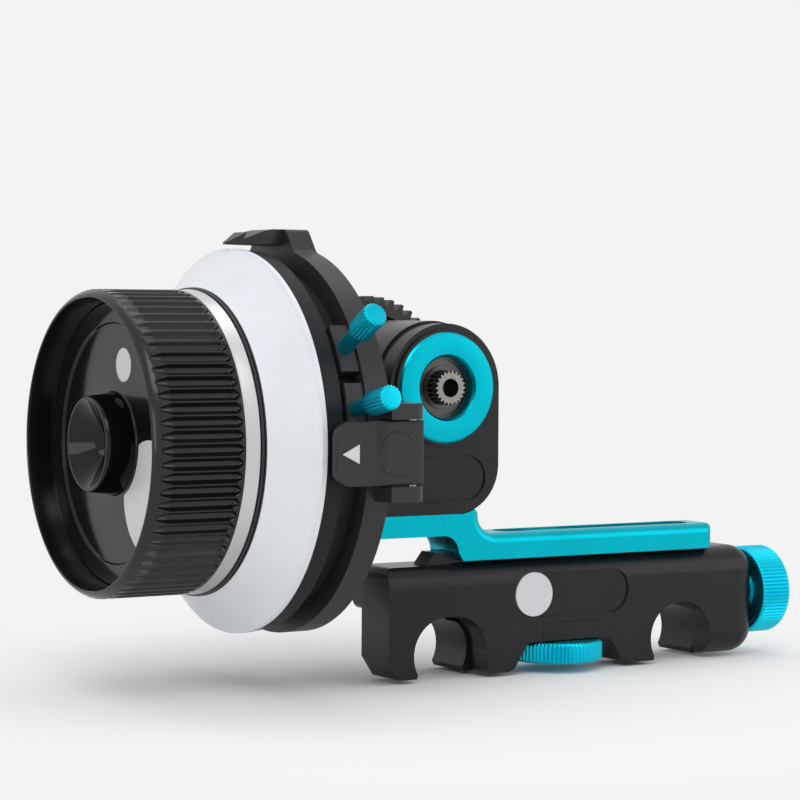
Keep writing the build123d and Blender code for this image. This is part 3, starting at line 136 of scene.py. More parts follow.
# edge and bumpHeight are in millimetres
looks = {
    "anodisedBlack": dict(
        dark=(0.0085, 0.0085, 0.010), light=(0.0115, 0.0115, 0.013), roughness=(0.24, 0.32),
        metallic=0.0, specular=0.26, grainScale=5200, bump=0.15, bumpHeight=0.012, edge=0.14),
    "mouldedBlack": dict(
        dark=(0.015, 0.015, 0.017), light=(0.021, 0.021, 0.023), roughness=(0.34, 0.46),
        metallic=0.0, specular=0.38, grainScale=3600, bump=0.35, bumpHeight=0.02, edge=0.14),
    "grainyBlack": dict(
        dark=(0.007, 0.007, 0.008), light=(0.011, 0.011, 0.012), roughness=(0.42, 0.60),
        metallic=0.0, specular=0.22, grainScale=2600, bump=0.6, bumpHeight=0.04, edge=0.12),
    "glossBlack": dict(
        dark=(0.0025, 0.0025, 0.0030), light=(0.0035, 0.0035, 0.0042), roughness=(0.08, 0.12),
        metallic=0.0, specular=0.30, grainScale=700, bump=0.04, bumpHeight=0.01, edge=0.10),
    "gripBlack": dict(
        dark=(0.0035, 0.0035, 0.0040), light=(0.0050, 0.0050, 0.0056), roughness=(0.15, 0.20),
        metallic=0.0, specular=0.46, grainScale=1400, bump=0.05, bumpHeight=0.01, edge=0.05),
    "anodisedTeal": dict(
        dark=(0.0012, 0.385, 0.475), light=(0.0020, 0.430, 0.530), roughness=(0.27, 0.34),
        metallic=0.96, specular=0.3, grainScale=4200, bump=0.12, bumpHeight=0.012, edge=0.10),
    # a brighter copy of the teal anodising: painted light that makes up for the shade between the flutes
    "flutedTealPaintedLight": dict(
        dark=(0.004, 0.51, 0.66), light=(0.006, 0.57, 0.74), roughness=(0.32, 0.40),
        metallic=0.96, specular=0.3, grainScale=4200, bump=0.10, bumpHeight=0.010, edge=0.04),
    "turnedSilver": dict(
        dark=(0.58, 0.58, 0.60), light=(0.64, 0.64, 0.66), roughness=(0.30, 0.35),
        metallic=1.0, grainScale=700, stretch=(8, 1, 1), bump=0.04, bumpHeight=0.005, edge=0.08),
    "plainSteel": dict(
        dark=(0.36, 0.35, 0.34), light=(0.48, 0.47, 0.46), roughness=(0.26, 0.40),
        metallic=1.0, grainScale=1800, bump=0.12, bumpHeight=0.015, edge=0.05),
    "bearingSteel": dict(
        dark=(0.060, 0.060, 0.058), light=(0.095, 0.095, 0.092), roughness=(0.24, 0.34),
        metallic=1.0, grainScale=1800, bump=0.08, bumpHeight=0.01, edge=0.05),
    "splineSteel": dict(
        dark=(0.17, 0.16, 0.15), light=(0.26, 0.25, 0.23), roughness=(0.24, 0.36),
        metallic=1.0, grainScale=1800, bump=0.10, bumpHeight=0.012, edge=0.05),
    "markingWhite": dict(
        dark=(0.75, 0.775, 0.82), light=(0.79, 0.815, 0.86), roughness=(0.36, 0.44),
        metallic=0.0, specular=0.30, grainScale=3000, bump=0.04, bumpHeight=0.01, edge=0.12),
    # white of the badge and the prints, also of the painted patch of light on the wheel's floor
    "printAndPaintedLightWhite": dict(
        dark=(0.60, 0.61, 0.63), light=(0.64, 0.65, 0.67), roughness=(0.25, 0.32),
        metallic=0.0, grainScale=900, bump=0.01, bumpHeight=0.005, edge=0.04),
    "bushBronze": dict(
        dark=(0.36, 0.23, 0.10), light=(0.46, 0.30, 0.14), roughness=(0.35, 0.5),
        metallic=1.0, grainScale=2600, bump=0.3, bumpHeight=0.02, edge=0.22),
}
materials = {name: finishMaterial(name, look) for name, look in looks.items()}
print("materials made:", len(materials))

meshDims = dict(mergeWithin=1e-7, sharpAngle=32, turnedCorner=6, flutedCorner=5)


def meshFromGrid(name, points, material, loopAlong=True, loopRound=True):
    # points[i, j]: row i runs along the profile, column j runs round; quads join neighbours, in millimetres
    rows, columns = points.shape[:2]
    index = np.arange(rows * columns).reshape(rows, columns)
    if loopAlong:
        index = np.vstack([index, index[:1]])
    if loopRound:
        index = np.hstack([index, index[:, :1]])
    corners = [index[:-1, :-1], index[:-1, 1:], index[1:, 1:], index[1:, :-1]]
    quads = np.stack(corners, axis=-1).reshape(-1, 4)
    flat = points.reshape(-1, 3) * mm
    centred = flat - flat.mean(axis=0)
    a, b, c, d = (centred[quads[:, k]] for k in range(4))
    volume = np.einsum("ij,ij->", a, np.cross(b, c)) + np.einsum("ij,ij->", a, np.cross(c, d))
    if volume < 0:  # turned inside out: read each face the other way round
        quads = quads[:, ::-1]
    mesh = bpy.data.meshes.new(name)
    mesh.vertices.add(len(flat))
    mesh.vertices.foreach_set("co", flat.ravel())
    mesh.loops.add(quads.size)
    mesh.loops.foreach_set("vertex_index", quads.ravel())
    mesh.polygons.add(len(quads))
    mesh.polygons.foreach_set("loop_start", np.arange(0, quads.size, 4))
    mesh.update(calc_edges=True)
    mesh.validate()
    work = bmesh.new()
    work.from_mesh(mesh)
    bmesh.ops.remove_doubles(work, verts=work.verts, dist=meshDims["mergeWithin"])  # closes the poles
    work.to_mesh(mesh)
    work.free()
    mesh.materials.append(materials[material])
    mesh.shade_smooth()
    mesh.set_sharp_from_angle(angle=math.radians(meshDims["sharpAngle"]))
    piece = bpy.data.objects.new(name, mesh)
    bpy.context.scene.collection.objects.link(piece)
    return piece


def roundProfile(corners, steps):
    # closed outline of (height, radius, fillet): each corner becomes a curve tangent to both its sides
    outline = []
    for k, (h, r, fillet) in enumerate(corners):
        here = np.array([h, r], float)
        if fillet <= 0:
            outline.append(here[None])
            continue
        before = np.array(corners[k - 1][:2], float) - here
        after = np.array(corners[(k + 1) % len(corners)][:2], float) - here
        before, after = before / np.linalg.norm(before), after / np.linalg.norm(after)
        half = math.acos(np.clip(before @ after, -1, 1)) / 2
        reach = fillet / math.tan(half)
        start, end = here + before * reach, here + after * reach
        t = np.linspace(0, 1, steps)[:, None]
        bend = (1 - t) ** 2 * start + 2 * t * (1 - t) * here + t ** 2 * end  # near an arc when small
        outline.append(bend)
    return np.vstack(outline)


def aroundAxis(axis, height, radius, turn):
    # a point at that height along the axis and that radius, turned from the first way across to the second
    origin, along, first, second = (np.array(v, float) for v in axis)
    return (origin + height[..., None] * along
            + (radius * np.cos(turn))[..., None] * first + (radius * np.sin(turn))[..., None] * second)


def turned(name, axis, corners, material, around):
    # lathe work: the outline's radius at every height, carried once round the axis
    outline = roundProfile(corners, meshDims["turnedCorner"])
    turn = np.linspace(0, 2 * np.pi, around, endpoint=False)
    height = np.repeat(outline[:, :1], around, axis=1)
    radius = np.repeat(outline[:, 1:], around, axis=1)
    turn = turn[None, :].repeat(len(outline), 0)
    return meshFromGrid(name, aroundAxis(axis, height, radius, turn), material)


def fluted(name, axis, corners, material, flute, low, high, outer):
    # lathe work with straight flutes between two heights: near the outer radius it drops by
    # depth times a power of a raised cosine of the turn, which comes in over a narrow blend
    outline = roundProfile(corners, meshDims["flutedCorner"])
    turn = np.linspace(0, 2 * np.pi, flute["count"] * flute["samples"], endpoint=False)
    wave = (0.5 + 0.5 * np.cos(flute["count"] * turn)) ** flute["sharp"]
    height, radius = outline[:, :1], outline[:, 1:]
    onBand = np.clip((radius - (outer - flute["inset"])) / flute["blend"], 0, 1)
    onBand = onBand * ((height >= low) & (height <= high))
    cut = radius - flute["depth"] * onBand * wave[None, :]
    height = np.repeat(height, turn.size, axis=1)
    return meshFromGrid(name, aroundAxis(axis, height, cut, np.broadcast_to(turn, height.shape)), material)


def carry(piece, body):
    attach(piece, body)
    return piece


def fit(piece, *nodes):
    # the piece rides on the body of the CAD pieces it stands for, and those are hidden
    carry(piece, bodyOf[nodes[0]])
    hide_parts(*nodes)
    return piece


def finish(node, material):
    # a CAD piece whose shape is right keeps it and gets the finish
    for slot in frame["nodes"][node].material_slots:
        slot.material = materials[material]


gripDims = dict(
    front=-74.5, rear=-55.6, radius=30.0, frontRadius=28.9, slopeEnd=-72.6, lipDrop=0.25, lipRun=0.35,
    ribs=72, samples=18, grooveHalf=1.14, grooveDepth=1.15, grooveShape=2.6, soft=0.06, narrowest=1e-3,
    tipStart=-73.3, tipLength=3.0, tail=0.9, land=0.45, rearLine=0.1,
    mouth=28.35, mouthEase=0.15, mouthDepth=0.6, wall=27.5, wallEase=0.1, floor=-68.5,
    seat=26.02, seatStep=0.6, shoulderRows=8, tipRows=26, barrelRows=6, tailRows=12)


def gripRows(d):
    # heights of the rows along the grip, close together where the grooves start and end
    front, tip = d["front"], d["tipStart"]
    tailEnd = d["rear"] - d["land"]
    return np.concatenate([
        front + np.linspace(0, 1, d["shoulderRows"]) ** 1.3 * (tip - front - 0.05),
        tip + np.linspace(0, 1, d["tipRows"]) * (d["tipLength"] + 0.6),
        np.linspace(tip + d["tipLength"] + 1.2, tailEnd - d["tail"] - 0.2, d["barrelRows"]),
        tailEnd - d["tail"] * np.linspace(1, 0, d["tailRows"]) ** 1.6,
        [d["rear"] - d["rearLine"], d["rear"]]])


def ribbedGrip(d):
    # radius = the smaller of the barrel and the groove, joined softly
    # the barrel rises to full size on a sine, and its front lip drops off as a square
    # groove = its floor + depth times a power of (distance / half width); half width and depth grow on a root
    # over the tip, so each groove starts as a lancet point, and close on a shorter root before the rear land
    xs = gripRows(d)
    turn = np.linspace(0, 2 * np.pi, d["ribs"] * d["samples"], endpoint=False)
    rise = np.clip((xs - d["front"]) / (d["slopeEnd"] - d["front"]), 0, 1)
    barrel = d["frontRadius"] + (d["radius"] - d["frontRadius"]) * np.sin(rise * np.pi / 2)
    barrel = barrel - d["lipDrop"] * np.clip(1 - (xs - d["front"]) / d["lipRun"], 0, 1) ** 2
    pitch = 2 * np.pi / d["ribs"]
    side = np.abs((turn + pitch / 2) % pitch - pitch / 2) * d["radius"]
    opened = np.sqrt(np.clip((xs - d["tipStart"]) / d["tipLength"], 0, 1))
    opened = opened * np.sqrt(np.clip((d["rear"] - d["land"] - xs) / d["tail"], 0, 1))
    half = np.maximum(d["grooveHalf"] * opened, d["narrowest"])
    deep = d["grooveDepth"] * opened
    groove = d["radius"] - deep[:, None] + deep[:, None] * (side[None, :] / half[:, None]) ** d["grooveShape"]
    gap = np.clip((barrel[:, None] - groove) / d["soft"], -60, 60)  # kept where exp doesn't overflow
    radius = barrel[:, None] - d["soft"] * np.logaddexp(0, gap) * (opened > 0)[:, None]
    height = np.repeat(xs[:, None], turn.size, axis=1)
    skin = aroundAxis(wheelAxis, height, radius, np.broadcast_to(turn, height.shape))
    inside = np.array([
        [d["rear"], d["seat"]], [d["floor"] + d["seatStep"], d["seat"]],
        [d["floor"] + d["seatStep"], d["wall"]], [d["floor"], d["wall"]],
        [d["front"] + d["mouthDepth"], d["mouth"] - d["wallEase"]],
        [d["front"] + d["mouthEase"], d["mouth"]], [d["front"], d["mouth"] + d["mouthEase"]]])
    innerHeight = np.repeat(inside[:, :1], turn.size, axis=1)
    innerRadius = np.repeat(inside[:, 1:], turn.size, axis=1)
    bore = aroundAxis(wheelAxis, innerHeight, innerRadius, np.broadcast_to(turn, innerHeight.shape))
    return meshFromGrid("ribbedGrip", np.concatenate([skin, bore]), "gripBlack")


fit(ribbedGrip(gripDims), "handwheel_grip")

hubDims = dict(
    front=-74.5, floor=-68.5, back=-64.5, boss=-60.5, bossRadius=9.8, webRadius=12.6, rim=26.0, play=0.05,
    step=0.5, edge=27.45, ledge=23.6, ledgeHeight=0.45, ledgeSlope=0.3,
    hubBase=10.0, hubRadius=9.35, hubEase=0.25, hubShoulder=0.9, lip=0.1, mouth=8.45,
    funnelStart=0.35, throatDepth=7.0, hollow=1.7, funnelRows=14, socket=3.1, socketFloor=-64.5, bore=1.5,
    around=180)


def wheelCore(d):
    # outline: bore, boss, back, rim, step ring, floor, hub, then a funnel whose radius falls
    # from the mouth to the socket as a power of the share of the depth that is left
    t = np.linspace(0, 1, d["funnelRows"])[1:-1]
    start, throat = d["front"] + d["funnelStart"], d["front"] + d["throatDepth"]
    funnel = [(start + (throat - start) * s,
               d["socket"] + (d["mouth"] - d["socket"]) * (1 - s) ** d["hollow"], 0) for s in t]
    rim, seat = d["rim"] - d["play"], d["floor"] + d["step"]
    ledgeTop, hubTop = d["floor"] - d["ledgeHeight"], d["front"] + d["lip"]
    corners = [
        (d["boss"], d["bore"], 0), (d["boss"], d["bossRadius"], 0.3), (d["back"], d["webRadius"], 0.5),
        (d["back"], rim, 0.2), (seat, rim, 0), (seat, d["edge"], 0),
        (ledgeTop, d["edge"], 0.1), (ledgeTop, d["ledge"], 0.15),
        (d["floor"], d["ledge"] - d["ledgeSlope"], 0.15), (d["floor"], d["hubBase"], 0.6),
        (d["front"] + d["hubShoulder"], d["hubRadius"], 0), (hubTop, d["hubRadius"] - d["hubEase"], 0.4),
        (hubTop, d["mouth"] + d["lip"], 0.25), *funnel,
        (throat, d["socket"], 0), (d["socketFloor"], d["socket"], 0), (d["socketFloor"], d["bore"], 0)]
    return turned("wheelCore", wheelAxis, corners, "glossBlack", d["around"])


fit(wheelCore(hubDims), "handwheel_core")

# each spot: how far across and up from the wheel's middle, and its radius
printAndPaintedLightDims = dict(
    height=-68.56, thickness=0.05, wall=23.1, hub=10.7, around=120, farAway=99.0,
    # the large spot is painted light, a pale patch on the floor bounded by the hub's shadow; the small spot
    # is a print
    spots=dict(floorDotSmall=(4.0, 15.35, 3.3), floorPaintedLight=(15.6, -9.9, 11.2)))


def floorDot(name, across, up, radius, d):
    # round pale spot on the wheel's floor: the small one is a print, the large one is a painted patch of
    # light that ends at the hub's shadow;
    # a disc whose radius is cut short where a ray from its middle meets the wall or the hub
    turn = np.linspace(0, 2 * np.pi, d["around"], endpoint=False)
    ray = np.stack([np.cos(turn), np.sin(turn)], axis=1)
    middle = np.array([across, up])
    along = ray @ middle
    inside = along ** 2 - middle @ middle
    toWall = -along + np.sqrt(inside + d["wall"] ** 2)
    hubMiss = inside + d["hub"] ** 2
    meetsHub = (hubMiss > 0) & (along < 0)
    toHub = np.where(meetsHub, -along - np.sqrt(np.clip(hubMiss, 0, None)), d["farAway"])
    reach = np.minimum(np.minimum(radius, toWall), toHub)
    heights = d["height"] + np.array([0, 0, d["thickness"], d["thickness"]])
    share = np.array([0, 1, 1, 0])[:, None] * reach[None, :]
    y = spindleY - (across + share * ray[:, 0])
    z = spindleZ + up + share * ray[:, 1]
    points = np.stack([np.repeat(heights[:, None], turn.size, axis=1), y, z], axis=-1)
    return carry(meshFromGrid(name, points, "printAndPaintedLightWhite", loopAlong=False), "handwheel")


for dotName, (dotAcross, dotUp, dotRadius) in printAndPaintedLightDims["spots"].items():
    floorDot(dotName, dotAcross, dotUp, dotRadius, printAndPaintedLightDims)

# lathe outlines as (height, radius, fillet)
bandDims = dict(
    silverBand=dict(node="silver_ring", look="turnedSilver", around=220, corners=[
        (-55.6, 26.0, 0), (-55.6, 29.35, 0.25), (-54.9, 29.5, 0.3), (-52.5, 30.2, 0.25), (-52.4, 26.0, 0)]),
    darkBand=dict(node="dark_ring", look="mouldedBlack", around=220, corners=[
        (-52.4, 26.0, 0), (-52.4, 30.45, 0.15), (-51.95, 30.5, 0), (-51.9, 30.15, 0),
        (-51.75, 30.15, 0), (-51.7, 30.5, 0), (-51.4, 30.5, 0.1), (-51.4, 26.0, 0)]))
for bandName, band in bandDims.items():
    fit(turned(bandName, wheelAxis, band["corners"], band["look"], band["around"]), band["node"])

discDims = dict(
    front=-51.4, rear=-42.7, bore=26.0, small=30.55, large=38.3, flareShape=1.25, flareRows=22,
    band=1.25, lip=0.35, lipRun=0.15, bandEase=0.02, rearEase=0.1, around=240)


def markingDisc(d):
    # outline: radius = small + (large - small) times a power of the way back, so the flare is hollow;
    # then a short lip and a flat edge band
    s = np.linspace(0, 1, d["flareRows"])
    flareEnd = d["rear"] - d["band"]
    flare = [(d["front"] + (flareEnd - d["front"]) * k,
              d["small"] + (d["large"] - d["lip"] - d["small"]) * k ** d["flareShape"], 0) for k in s]
    corners = [
        (d["front"], d["bore"], 0), *flare, (flareEnd + d["lipRun"], d["large"] - d["bandEase"], 0),
        (d["rear"] - d["rearEase"], d["large"], 0), (d["rear"], d["large"] - d["rearEase"], 0),
        (d["rear"], d["bore"], 0)]
    return turned("markingDisc", wheelAxis, corners, "markingWhite", d["around"])


fit(markingDisc(discDims), "marking_disc")
print("handwheel made")

knobLow, knobHigh = nodeSpan("clamp_knob")
knobY, knobZ = nodeMiddle("clamp_knob")[1:]
knobAxis = ((0, knobY, knobZ), (1, 0, 0), (0, -1, 0), (0, 0, 1))
knobDims = dict(
    left=knobLow[0], right=knobHigh[0], radius=9.6, lip=8.3, dish=0.75, boss=4.6, bossEase=0.1, lipInset=0.4,
    leftInset=0.45, rimRun=0.5, rightInset=0.5, rearLip=0.2, rearInset=0.9, fluteMargin=0.3,
    flute=dict(count=72, depth=0.32, sharp=1.6, samples=8, blend=0.3, inset=0.4))


def sideKnob(d):
    # outline: boss, dished face, lip and rim on the left, the fluted barrel, then a dished face on the right
    left, right = d["left"], d["right"]
    corners = [
        (left, 0.0, 0), (left, d["boss"], 0.15), (left + d["dish"], d["boss"] + d["bossEase"], 0.1),
        (left + d["dish"], d["lip"] - d["lipInset"], 0.4), (left, d["lip"], 0.2),
        (left, d["radius"] - d["leftInset"], 0.25), (left + d["rimRun"], d["radius"], 0.1),
        (right - d["rimRun"], d["radius"], 0.1), (right, d["radius"] - d["rightInset"], 0.25),
        (right, d["lip"] - d["rearLip"], 0.25), (right - d["dish"], d["lip"] - d["rearInset"], 0.3),
        (right - d["dish"], 0.0, 0)]
    return fluted("sideKnob", knobAxis, corners, "flutedTealPaintedLight", d["flute"],
                  left + d["fluteMargin"], right - d["fluteMargin"], d["radius"])


fit(sideKnob(knobDims), "clamp_knob")

lockLow, lockHigh = nodeSpan("lock_wheel")
lockAxis = ((nodeMiddle("lock_wheel")[0], 0, 0), (0, 0, 1), (1, 0, 0), (0, 1, 0))
lockDims = dict(
    low=lockLow[2], high=lockHigh[2], radius=10.0, collar=8.1, collarEase=0.3, collarStep=0.25,
    faceStep=0.1, faceInset=0.7, rimRun=0.6, crownInset=0.6, seat=2.05, seatFloor=1.0, fluteMargin=0.3,
    flute=dict(count=70, depth=0.35, sharp=1.5, samples=8, blend=0.3, inset=0.4))


def thumbWheel(d):
    # outline: flat collar underneath, a shallow face, the fluted rim, then the top with its seat for the stud
    low, high = d["low"], d["high"]
    corners = [
        (low, 0.0, 0), (low, d["collar"] - d["collarEase"], 0.3), (low + d["collarStep"], d["collar"], 0.2),
        (low + d["faceStep"], d["radius"] - d["faceInset"], 0.3), (low + d["rimRun"], d["radius"], 0.15),
        (high - d["rimRun"], d["radius"], 0.15), (high, d["radius"] - d["crownInset"], 0.3),
        (high, d["seat"], 0), (low + d["seatFloor"], d["seat"], 0), (low + d["seatFloor"], 0.0, 0)]
    return fluted("thumbWheel", lockAxis, corners, "flutedTealPaintedLight", d["flute"],
                  low + d["fluteMargin"], high - d["fluteMargin"], d["radius"])


fit(thumbWheel(lockDims), "lock_wheel")

stopDims = dict(
    track=-36.1, foot=34.4, shank=1.5, neckTop=1.65, headStart=44.4, headEnd=51.3, headRadius=2.4, crown=0.45,
    fluteMargin=0.1, flute=dict(count=20, depth=0.24, sharp=1.3, samples=8, blend=0.12, inset=0.2),
    angles=dict(stop_a_screw=30.0, stop_b_screw=11.5))


def stopThumbscrew(node, d):
    # lathe work on a spoke of the wheel: shank that widens outwards, then a fluted head with a bevelled crown
    turnAngle = math.radians(d["angles"][node])
    along = (0, -math.cos(turnAngle), math.sin(turnAngle))
    across = (0, math.sin(turnAngle), math.cos(turnAngle))
    axis = ((d["track"], spindleY, spindleZ), along, (1, 0, 0), across)
    corners = [
        (d["foot"], 0.0, 0), (d["foot"], d["shank"], 0.1), (d["headStart"], d["neckTop"], 0.1),
        (d["headStart"], d["headRadius"], 0.15), (d["headEnd"] - d["crown"], d["headRadius"], 0.15),
        (d["headEnd"], d["headRadius"] - d["crown"], 0.1), (d["headEnd"], 0.0, 0)]
    return fluted(node + "Turned", axis, corners, "flutedTealPaintedLight", d["flute"],
                  d["headStart"], d["headEnd"] - d["fluteMargin"], d["headRadius"])


for stopNode in stopDims["angles"]:
    fit(stopThumbscrew(stopNode, stopDims), stopNode)
print("knobs and screws made")

ringDims = dict(
    outer=10.8, flange=11.35, proud=0.95, rimEase=0.4, inner=6.3, coneWidth=0.55, coneDepth=0.7, around=150)


def tealRing(node, d, outward):
    # outline of a flat ring with a flange, whose bore opens outwards in a short cone
    low, high = nodeSpan(node)
    face, back = (low[1], high[1]) if outward < 0 else (high[1], low[1])
    inward = -outward
    flangeBack = face + d["proud"] * inward
    corners = [
        (back, d["inner"], 0), (back, d["outer"], 0.1),
        (flangeBack, d["outer"], 0), (flangeBack, d["flange"], 0),
        (face + d["rimEase"] * inward, d["flange"], 0.1), (face, d["flange"] - d["rimEase"], 0.15),
        (face, d["inner"] + d["coneWidth"], 0.2), (face + d["coneDepth"] * inward, d["inner"], 0.15)]
    return turned(node + "Turned", outputAxis, corners, "anodisedTeal", d["around"])


fit(tealRing("front_ring", ringDims, -1), "front_ring")
fit(tealRing("rear_ring", ringDims, 1), "rear_ring")

flapDims = dict(
    left=-42.9, right=-24.05, low=37.3, high=49.5, front=-34.8, back=-32.4, corner=3.2, edge=0.3,
    stepAt=-33.6, stepRun=1.6, stepDepth=0.35, cornerRows=14, plateRows=26, cornerRun=0.5, endRun=0.35,
    flatShare=0.86, flatColumns=11, edgeColumns=6)


def pointerFlap(d):
    # a plate as a loop round its thickness, swept along x
    # half height = full height's half less the corner's circle at the left end
    # the front stands back by a smooth step left of the hinge part; both faces round off towards the edges
    cornerTurn = np.linspace(0, np.pi / 2, d["cornerRows"])
    plateEnd = d["right"] - d["endRun"]
    x = np.concatenate([
        d["left"] + d["corner"] * (1 - np.cos(cornerTurn)),
        np.linspace(d["left"] + d["corner"] + d["cornerRun"], plateEnd, d["plateRows"]),
        plateEnd + np.array([0.2, 0.31, d["endRun"]])])
    middle, full = (d["low"] + d["high"]) / 2, (d["high"] - d["low"]) / 2
    fromCorner = np.clip(d["left"] + d["corner"] - x, 0, d["corner"])
    halfHeight = full - d["corner"] + np.sqrt(d["corner"] ** 2 - fromCorner ** 2)
    share = np.concatenate([
        -np.cos(np.linspace(0, np.pi / 5, d["edgeColumns"])) ** 0.5,
        np.linspace(-d["flatShare"], d["flatShare"], d["flatColumns"]),
        np.cos(np.linspace(np.pi / 5, 0, d["edgeColumns"])) ** 0.5])
    rowEdge = np.clip(1 - (x - d["left"]) / d["edge"], 0, 1) + np.clip(1 - (d["right"] - x) / d["edge"], 0, 1)
    t = np.clip((d["stepAt"] - x) / d["stepRun"] + 0.5, 0, 1)
    face = d["front"] + d["stepDepth"] * t * t * (3 - 2 * t)
    toEdge = (1 - np.abs(share))[None, :] * halfHeight[:, None]
    fall = np.maximum(np.clip(1 - toEdge / d["edge"], 0, 1), rowEdge[:, None])
    setBack = d["edge"] * (1 - np.sqrt(np.clip(1 - fall ** 2, 0, 1)))
    z = middle + share[None, :] * halfHeight[:, None]
    frontY = face[:, None] + setBack
    backY = np.broadcast_to(d["back"] - setBack, frontY.shape)
    xs = np.broadcast_to(x[:, None], z.shape)
    loop = np.concatenate([np.stack([xs, frontY, z], -1), np.stack([xs, backY, z], -1)[:, ::-1]], axis=1)
    shut = loop.copy()
    shut[..., 1] = (d["front"] + d["back"]) / 2
    grid = np.concatenate([shut[:1], loop, shut[-1:]])
    return meshFromGrid("pointerFlap", grid, "mouldedBlack", loopAlong=False)


fit(pointerFlap(flapDims), "pointer_flap")

# arcs: start and end angle of each arrow, in degrees
reliefDims = dict(
    centre=(-29.6, 43.3), radius=4.15, halfWidth=0.2, headWidth=0.75, headShare=0.2, tailShare=0.02,
    height=0.14, sink=0.05, rows=7, columns=60,
    arcs=dict(turnArrowUpper=(150.0, 30.0), turnArrowLower=(-30.0, -150.0)))


def turnArrow(name, start, end, d):
    # raised line on an arc: height falls as one minus the square of the share across
    # half width is even, then a head that narrows to a point
    t = np.linspace(0, 1, d["columns"])
    headFrom = 1 - d["headShare"]
    half = np.where(t < headFrom, d["halfWidth"], d["headWidth"] * (1 - t) / d["headShare"])
    half = half * np.clip(t / d["tailShare"], 0, 1)
    s = np.linspace(-1, 1, d["rows"])[:, None]
    angle = np.radians(start + (end - start) * t)
    offset = half[None, :] * s
    x = d["centre"][0] + (d["radius"] + offset) * np.cos(angle)
    z = d["centre"][1] + (d["radius"] + offset) * np.sin(angle)
    lift = d["height"] * (1 - s ** 2) * np.clip(half / d["halfWidth"], 0, 1)
    top = np.stack([x, flapDims["front"] - lift, z], axis=-1)
    under = np.stack([x, np.full_like(x, flapDims["front"] + d["sink"]), z], axis=-1)[::-1]
    points = np.concatenate([top, under])
    return carry(meshFromGrid(name, points, "mouldedBlack", loopRound=False), "flap")


for arrowName, (arrowStart, arrowEnd) in reliefDims["arcs"].items():
    turnArrow(arrowName, arrowStart, arrowEnd, reliefDims)

finishes = {
    "anodisedBlack": ["clamp_body", "jaw_slider", "nut_cover", "gearbox_housing", "gearbox_cover"],
    "mouldedBlack": ["top_pointer", "stop_a", "stop_b", "back_plate", "drive_gear"],
    "grainyBlack": ["rotor_ring"],
    "anodisedTeal": ["focus_arm"],
    "turnedSilver": ["wheel_spindle"],
    "splineSteel": ["output_shaft"],
    "bearingSteel": ["front_bearing", "rear_bearing"],
    "plainSteel": [
        "lock_stud", "jaw_guide_screws", "clamp_screw", "screw_clip", "arm_screws", "cover_screws",
        "gear_screw", "gear_washer", "hinge_pin", "centre_screw", "plate_screws", "mitre_input", "mitre_lay",
        "layshaft", "lay_spur"],
    "printAndPaintedLightWhite": ["badge_disc", "pointer_mark"],
    "bushBronze": ["input_bush"],
}
for material, members in finishes.items():
    for node in members:
        finish(node, material)
print("CAD pieces finished")

# floorHeight and floorHalf are in millimetres, the fade in metres from the origin
stageDims = dict(
    floorHeight=-5.45, floorHalf=3000.0, floorTone=0.92, floorRoughness=0.9, floorSpecular=0.1,
    pale=0.896, worldDiffuse=0.82, fadeStart=0.05, fadeEnd=0.17)


def paleStrength(nodes, links, d):
    # 1 for rays from the camera, off gloss and through glass, else the dimmer share that lights the object
    path = nodes.new("ShaderNodeLightPath")
    first = nodes.new("ShaderNodeMath")
    first.operation = "ADD"
    second = nodes.new("ShaderNodeMath")
    second.operation = "ADD"
    second.use_clamp = True
    links.new(path.outputs["Is Camera Ray"], first.inputs[0])
    links.new(path.outputs["Is Glossy Ray"], first.inputs[1])
    links.new(first.outputs[0], second.inputs[0])
    links.new(path.outputs["Is Transmission Ray"], second.inputs[1])
    share = nodes.new("ShaderNodeMapRange")
    share.inputs["To Min"].default_value = d["worldDiffuse"]
    share.inputs["To Max"].default_value = 1.0
    links.new(second.outputs[0], share.inputs["Value"])
    return share.outputs["Result"]


def floorMaterial(d):
    # matt floor that keeps the shadow near the object and fades into the pale backdrop with distance
    material, nodes, links = newMaterial("paleFloor")
    shader = nodes["Principled BSDF"]
    shader.inputs["Base Color"].default_value = (d["floorTone"], d["floorTone"], d["floorTone"], 1)
    shader.inputs["Roughness"].default_value = d["floorRoughness"]
    shader.inputs["Specular IOR Level"].default_value = d["floorSpecular"]
    glow = nodes.new("ShaderNodeEmission")
    glow.inputs["Color"].default_value = (d["pale"], d["pale"], d["pale"], 1)
    links.new(paleStrength(nodes, links, d), glow.inputs["Strength"])
    place = nodes.new("ShaderNodeTexCoord")
    length = nodes.new("ShaderNodeVectorMath")
    length.operation = "LENGTH"
    links.new(place.outputs["Object"], length.inputs[0])
    fade = nodes.new("ShaderNodeMapRange")
    fade.interpolation_type = "SMOOTHSTEP"
    fade.inputs["From Min"].default_value = d["fadeStart"]
    fade.inputs["From Max"].default_value = d["fadeEnd"]
    links.new(length.outputs["Value"], fade.inputs["Value"])
    mix = nodes.new("ShaderNodeMixShader")
    links.new(fade.outputs["Result"], mix.inputs["Fac"])
    links.new(shader.outputs["BSDF"], mix.inputs[1])
    links.new(glow.outputs["Emission"], mix.inputs[2])
    links.new(mix.outputs["Shader"], nodes["Material Output"].inputs["Surface"])
    return material


def makeFloor(d):
    half, height = d["floorHalf"] * mm, d["floorHeight"] * mm
    corners = [(-half, -half, height), (half, -half, height), (half, half, height), (-half, half, height)]
    mesh = bpy.data.meshes.new("floor")
    mesh.from_pydata(corners, [], [(0, 1, 2, 3)])
    mesh.materials.append(floorMaterial(d))
    floor = bpy.data.objects.new("floor", mesh)
    bpy.context.scene.collection.objects.link(floor)


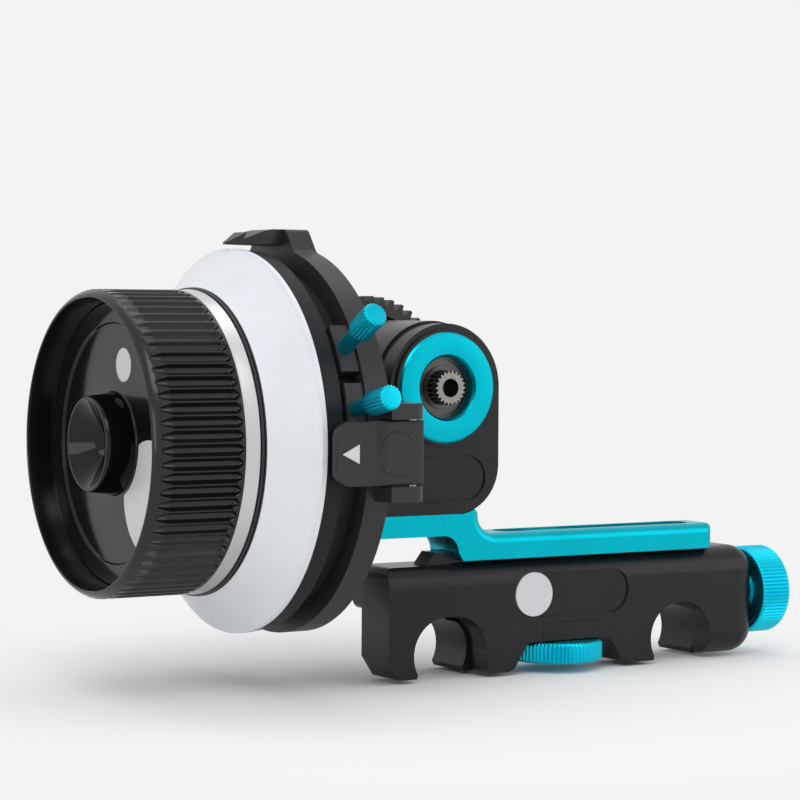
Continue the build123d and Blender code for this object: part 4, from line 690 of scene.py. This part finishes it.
def makeWorld(d):
    world = bpy.data.worlds.new("softRoom")
    world.use_nodes = True
    nodes, links = world.node_tree.nodes, world.node_tree.links
    background = nodes["Background"]
    background.inputs["Color"].default_value = (d["pale"], d["pale"], d["pale"], 1)
    links.new(paleStrength(nodes, links, d), background.inputs["Strength"])
    bpy.context.scene.world = world


# places, aims and sizes of the lamps in metres, power in watts
lampDims = dict(
    keyLamp=dict(place=(-0.35, -0.45, 0.65), aim=(0, 0, 0.03), size=(0.5, 0.4), power=1.5),
    fillLamp=dict(place=(0.55, -0.50, 0.25), aim=(0, 0, 0.03), size=(0.5, 0.5), power=0.8),
    topLamp=dict(place=(0.05, 0.15, 0.70), aim=(0, 0, 0.03), size=(0.6, 0.4), power=0.7),
    lowLamp=dict(place=(-0.60, -0.22, 0.12), aim=(-0.04, 0, 0.04), size=(0.3, 0.2), power=0.35))


def softLamp(name, d):
    lamp = bpy.data.lights.new(name, "AREA")
    lamp.shape = "RECTANGLE"
    lamp.size, lamp.size_y = d["size"]
    lamp.energy = d["power"]
    holder = bpy.data.objects.new(name, lamp)
    holder.location = d["place"]
    holder.rotation_euler = (Vector(d["aim"]) - Vector(d["place"])).to_track_quat("-Z", "Y").to_euler()
    bpy.context.scene.collection.objects.link(holder)


makeFloor(stageDims)
makeWorld(stageDims)
for lampName, lampSetting in lampDims.items():
    softLamp(lampName, lampSetting)

# place, lens and sensor in millimetres
cameraDims = dict(
    place=(-286.83, -450.98, 70.36), ahead=(0.52357, 0.85167, -0.02307), right=(0.85195, -0.52358, 0.00604),
    lens=117.03, sensor=36.0, shift=(0.008, -0.0375), clipStart=0.01)


def makeCamera(d):
    lens = bpy.data.cameras.new("camera")
    lens.lens = d["lens"]
    lens.sensor_width = d["sensor"]
    lens.shift_x, lens.shift_y = d["shift"]
    lens.clip_start = d["clipStart"]
    camera = bpy.data.objects.new("camera", lens)
    ahead, right = Vector(d["ahead"]).normalized(), Vector(d["right"]).normalized()
    up = right.cross(ahead)
    turn = Matrix((right, up, -ahead)).transposed().to_4x4()
    camera.matrix_world = Matrix.Translation(Vector(d["place"]) * mm) @ turn
    bpy.context.scene.collection.objects.link(camera)
    bpy.context.scene.camera = camera


makeCamera(cameraDims)
bpy.context.scene.view_settings.view_transform = "Standard"
print("stage, light and camera set")
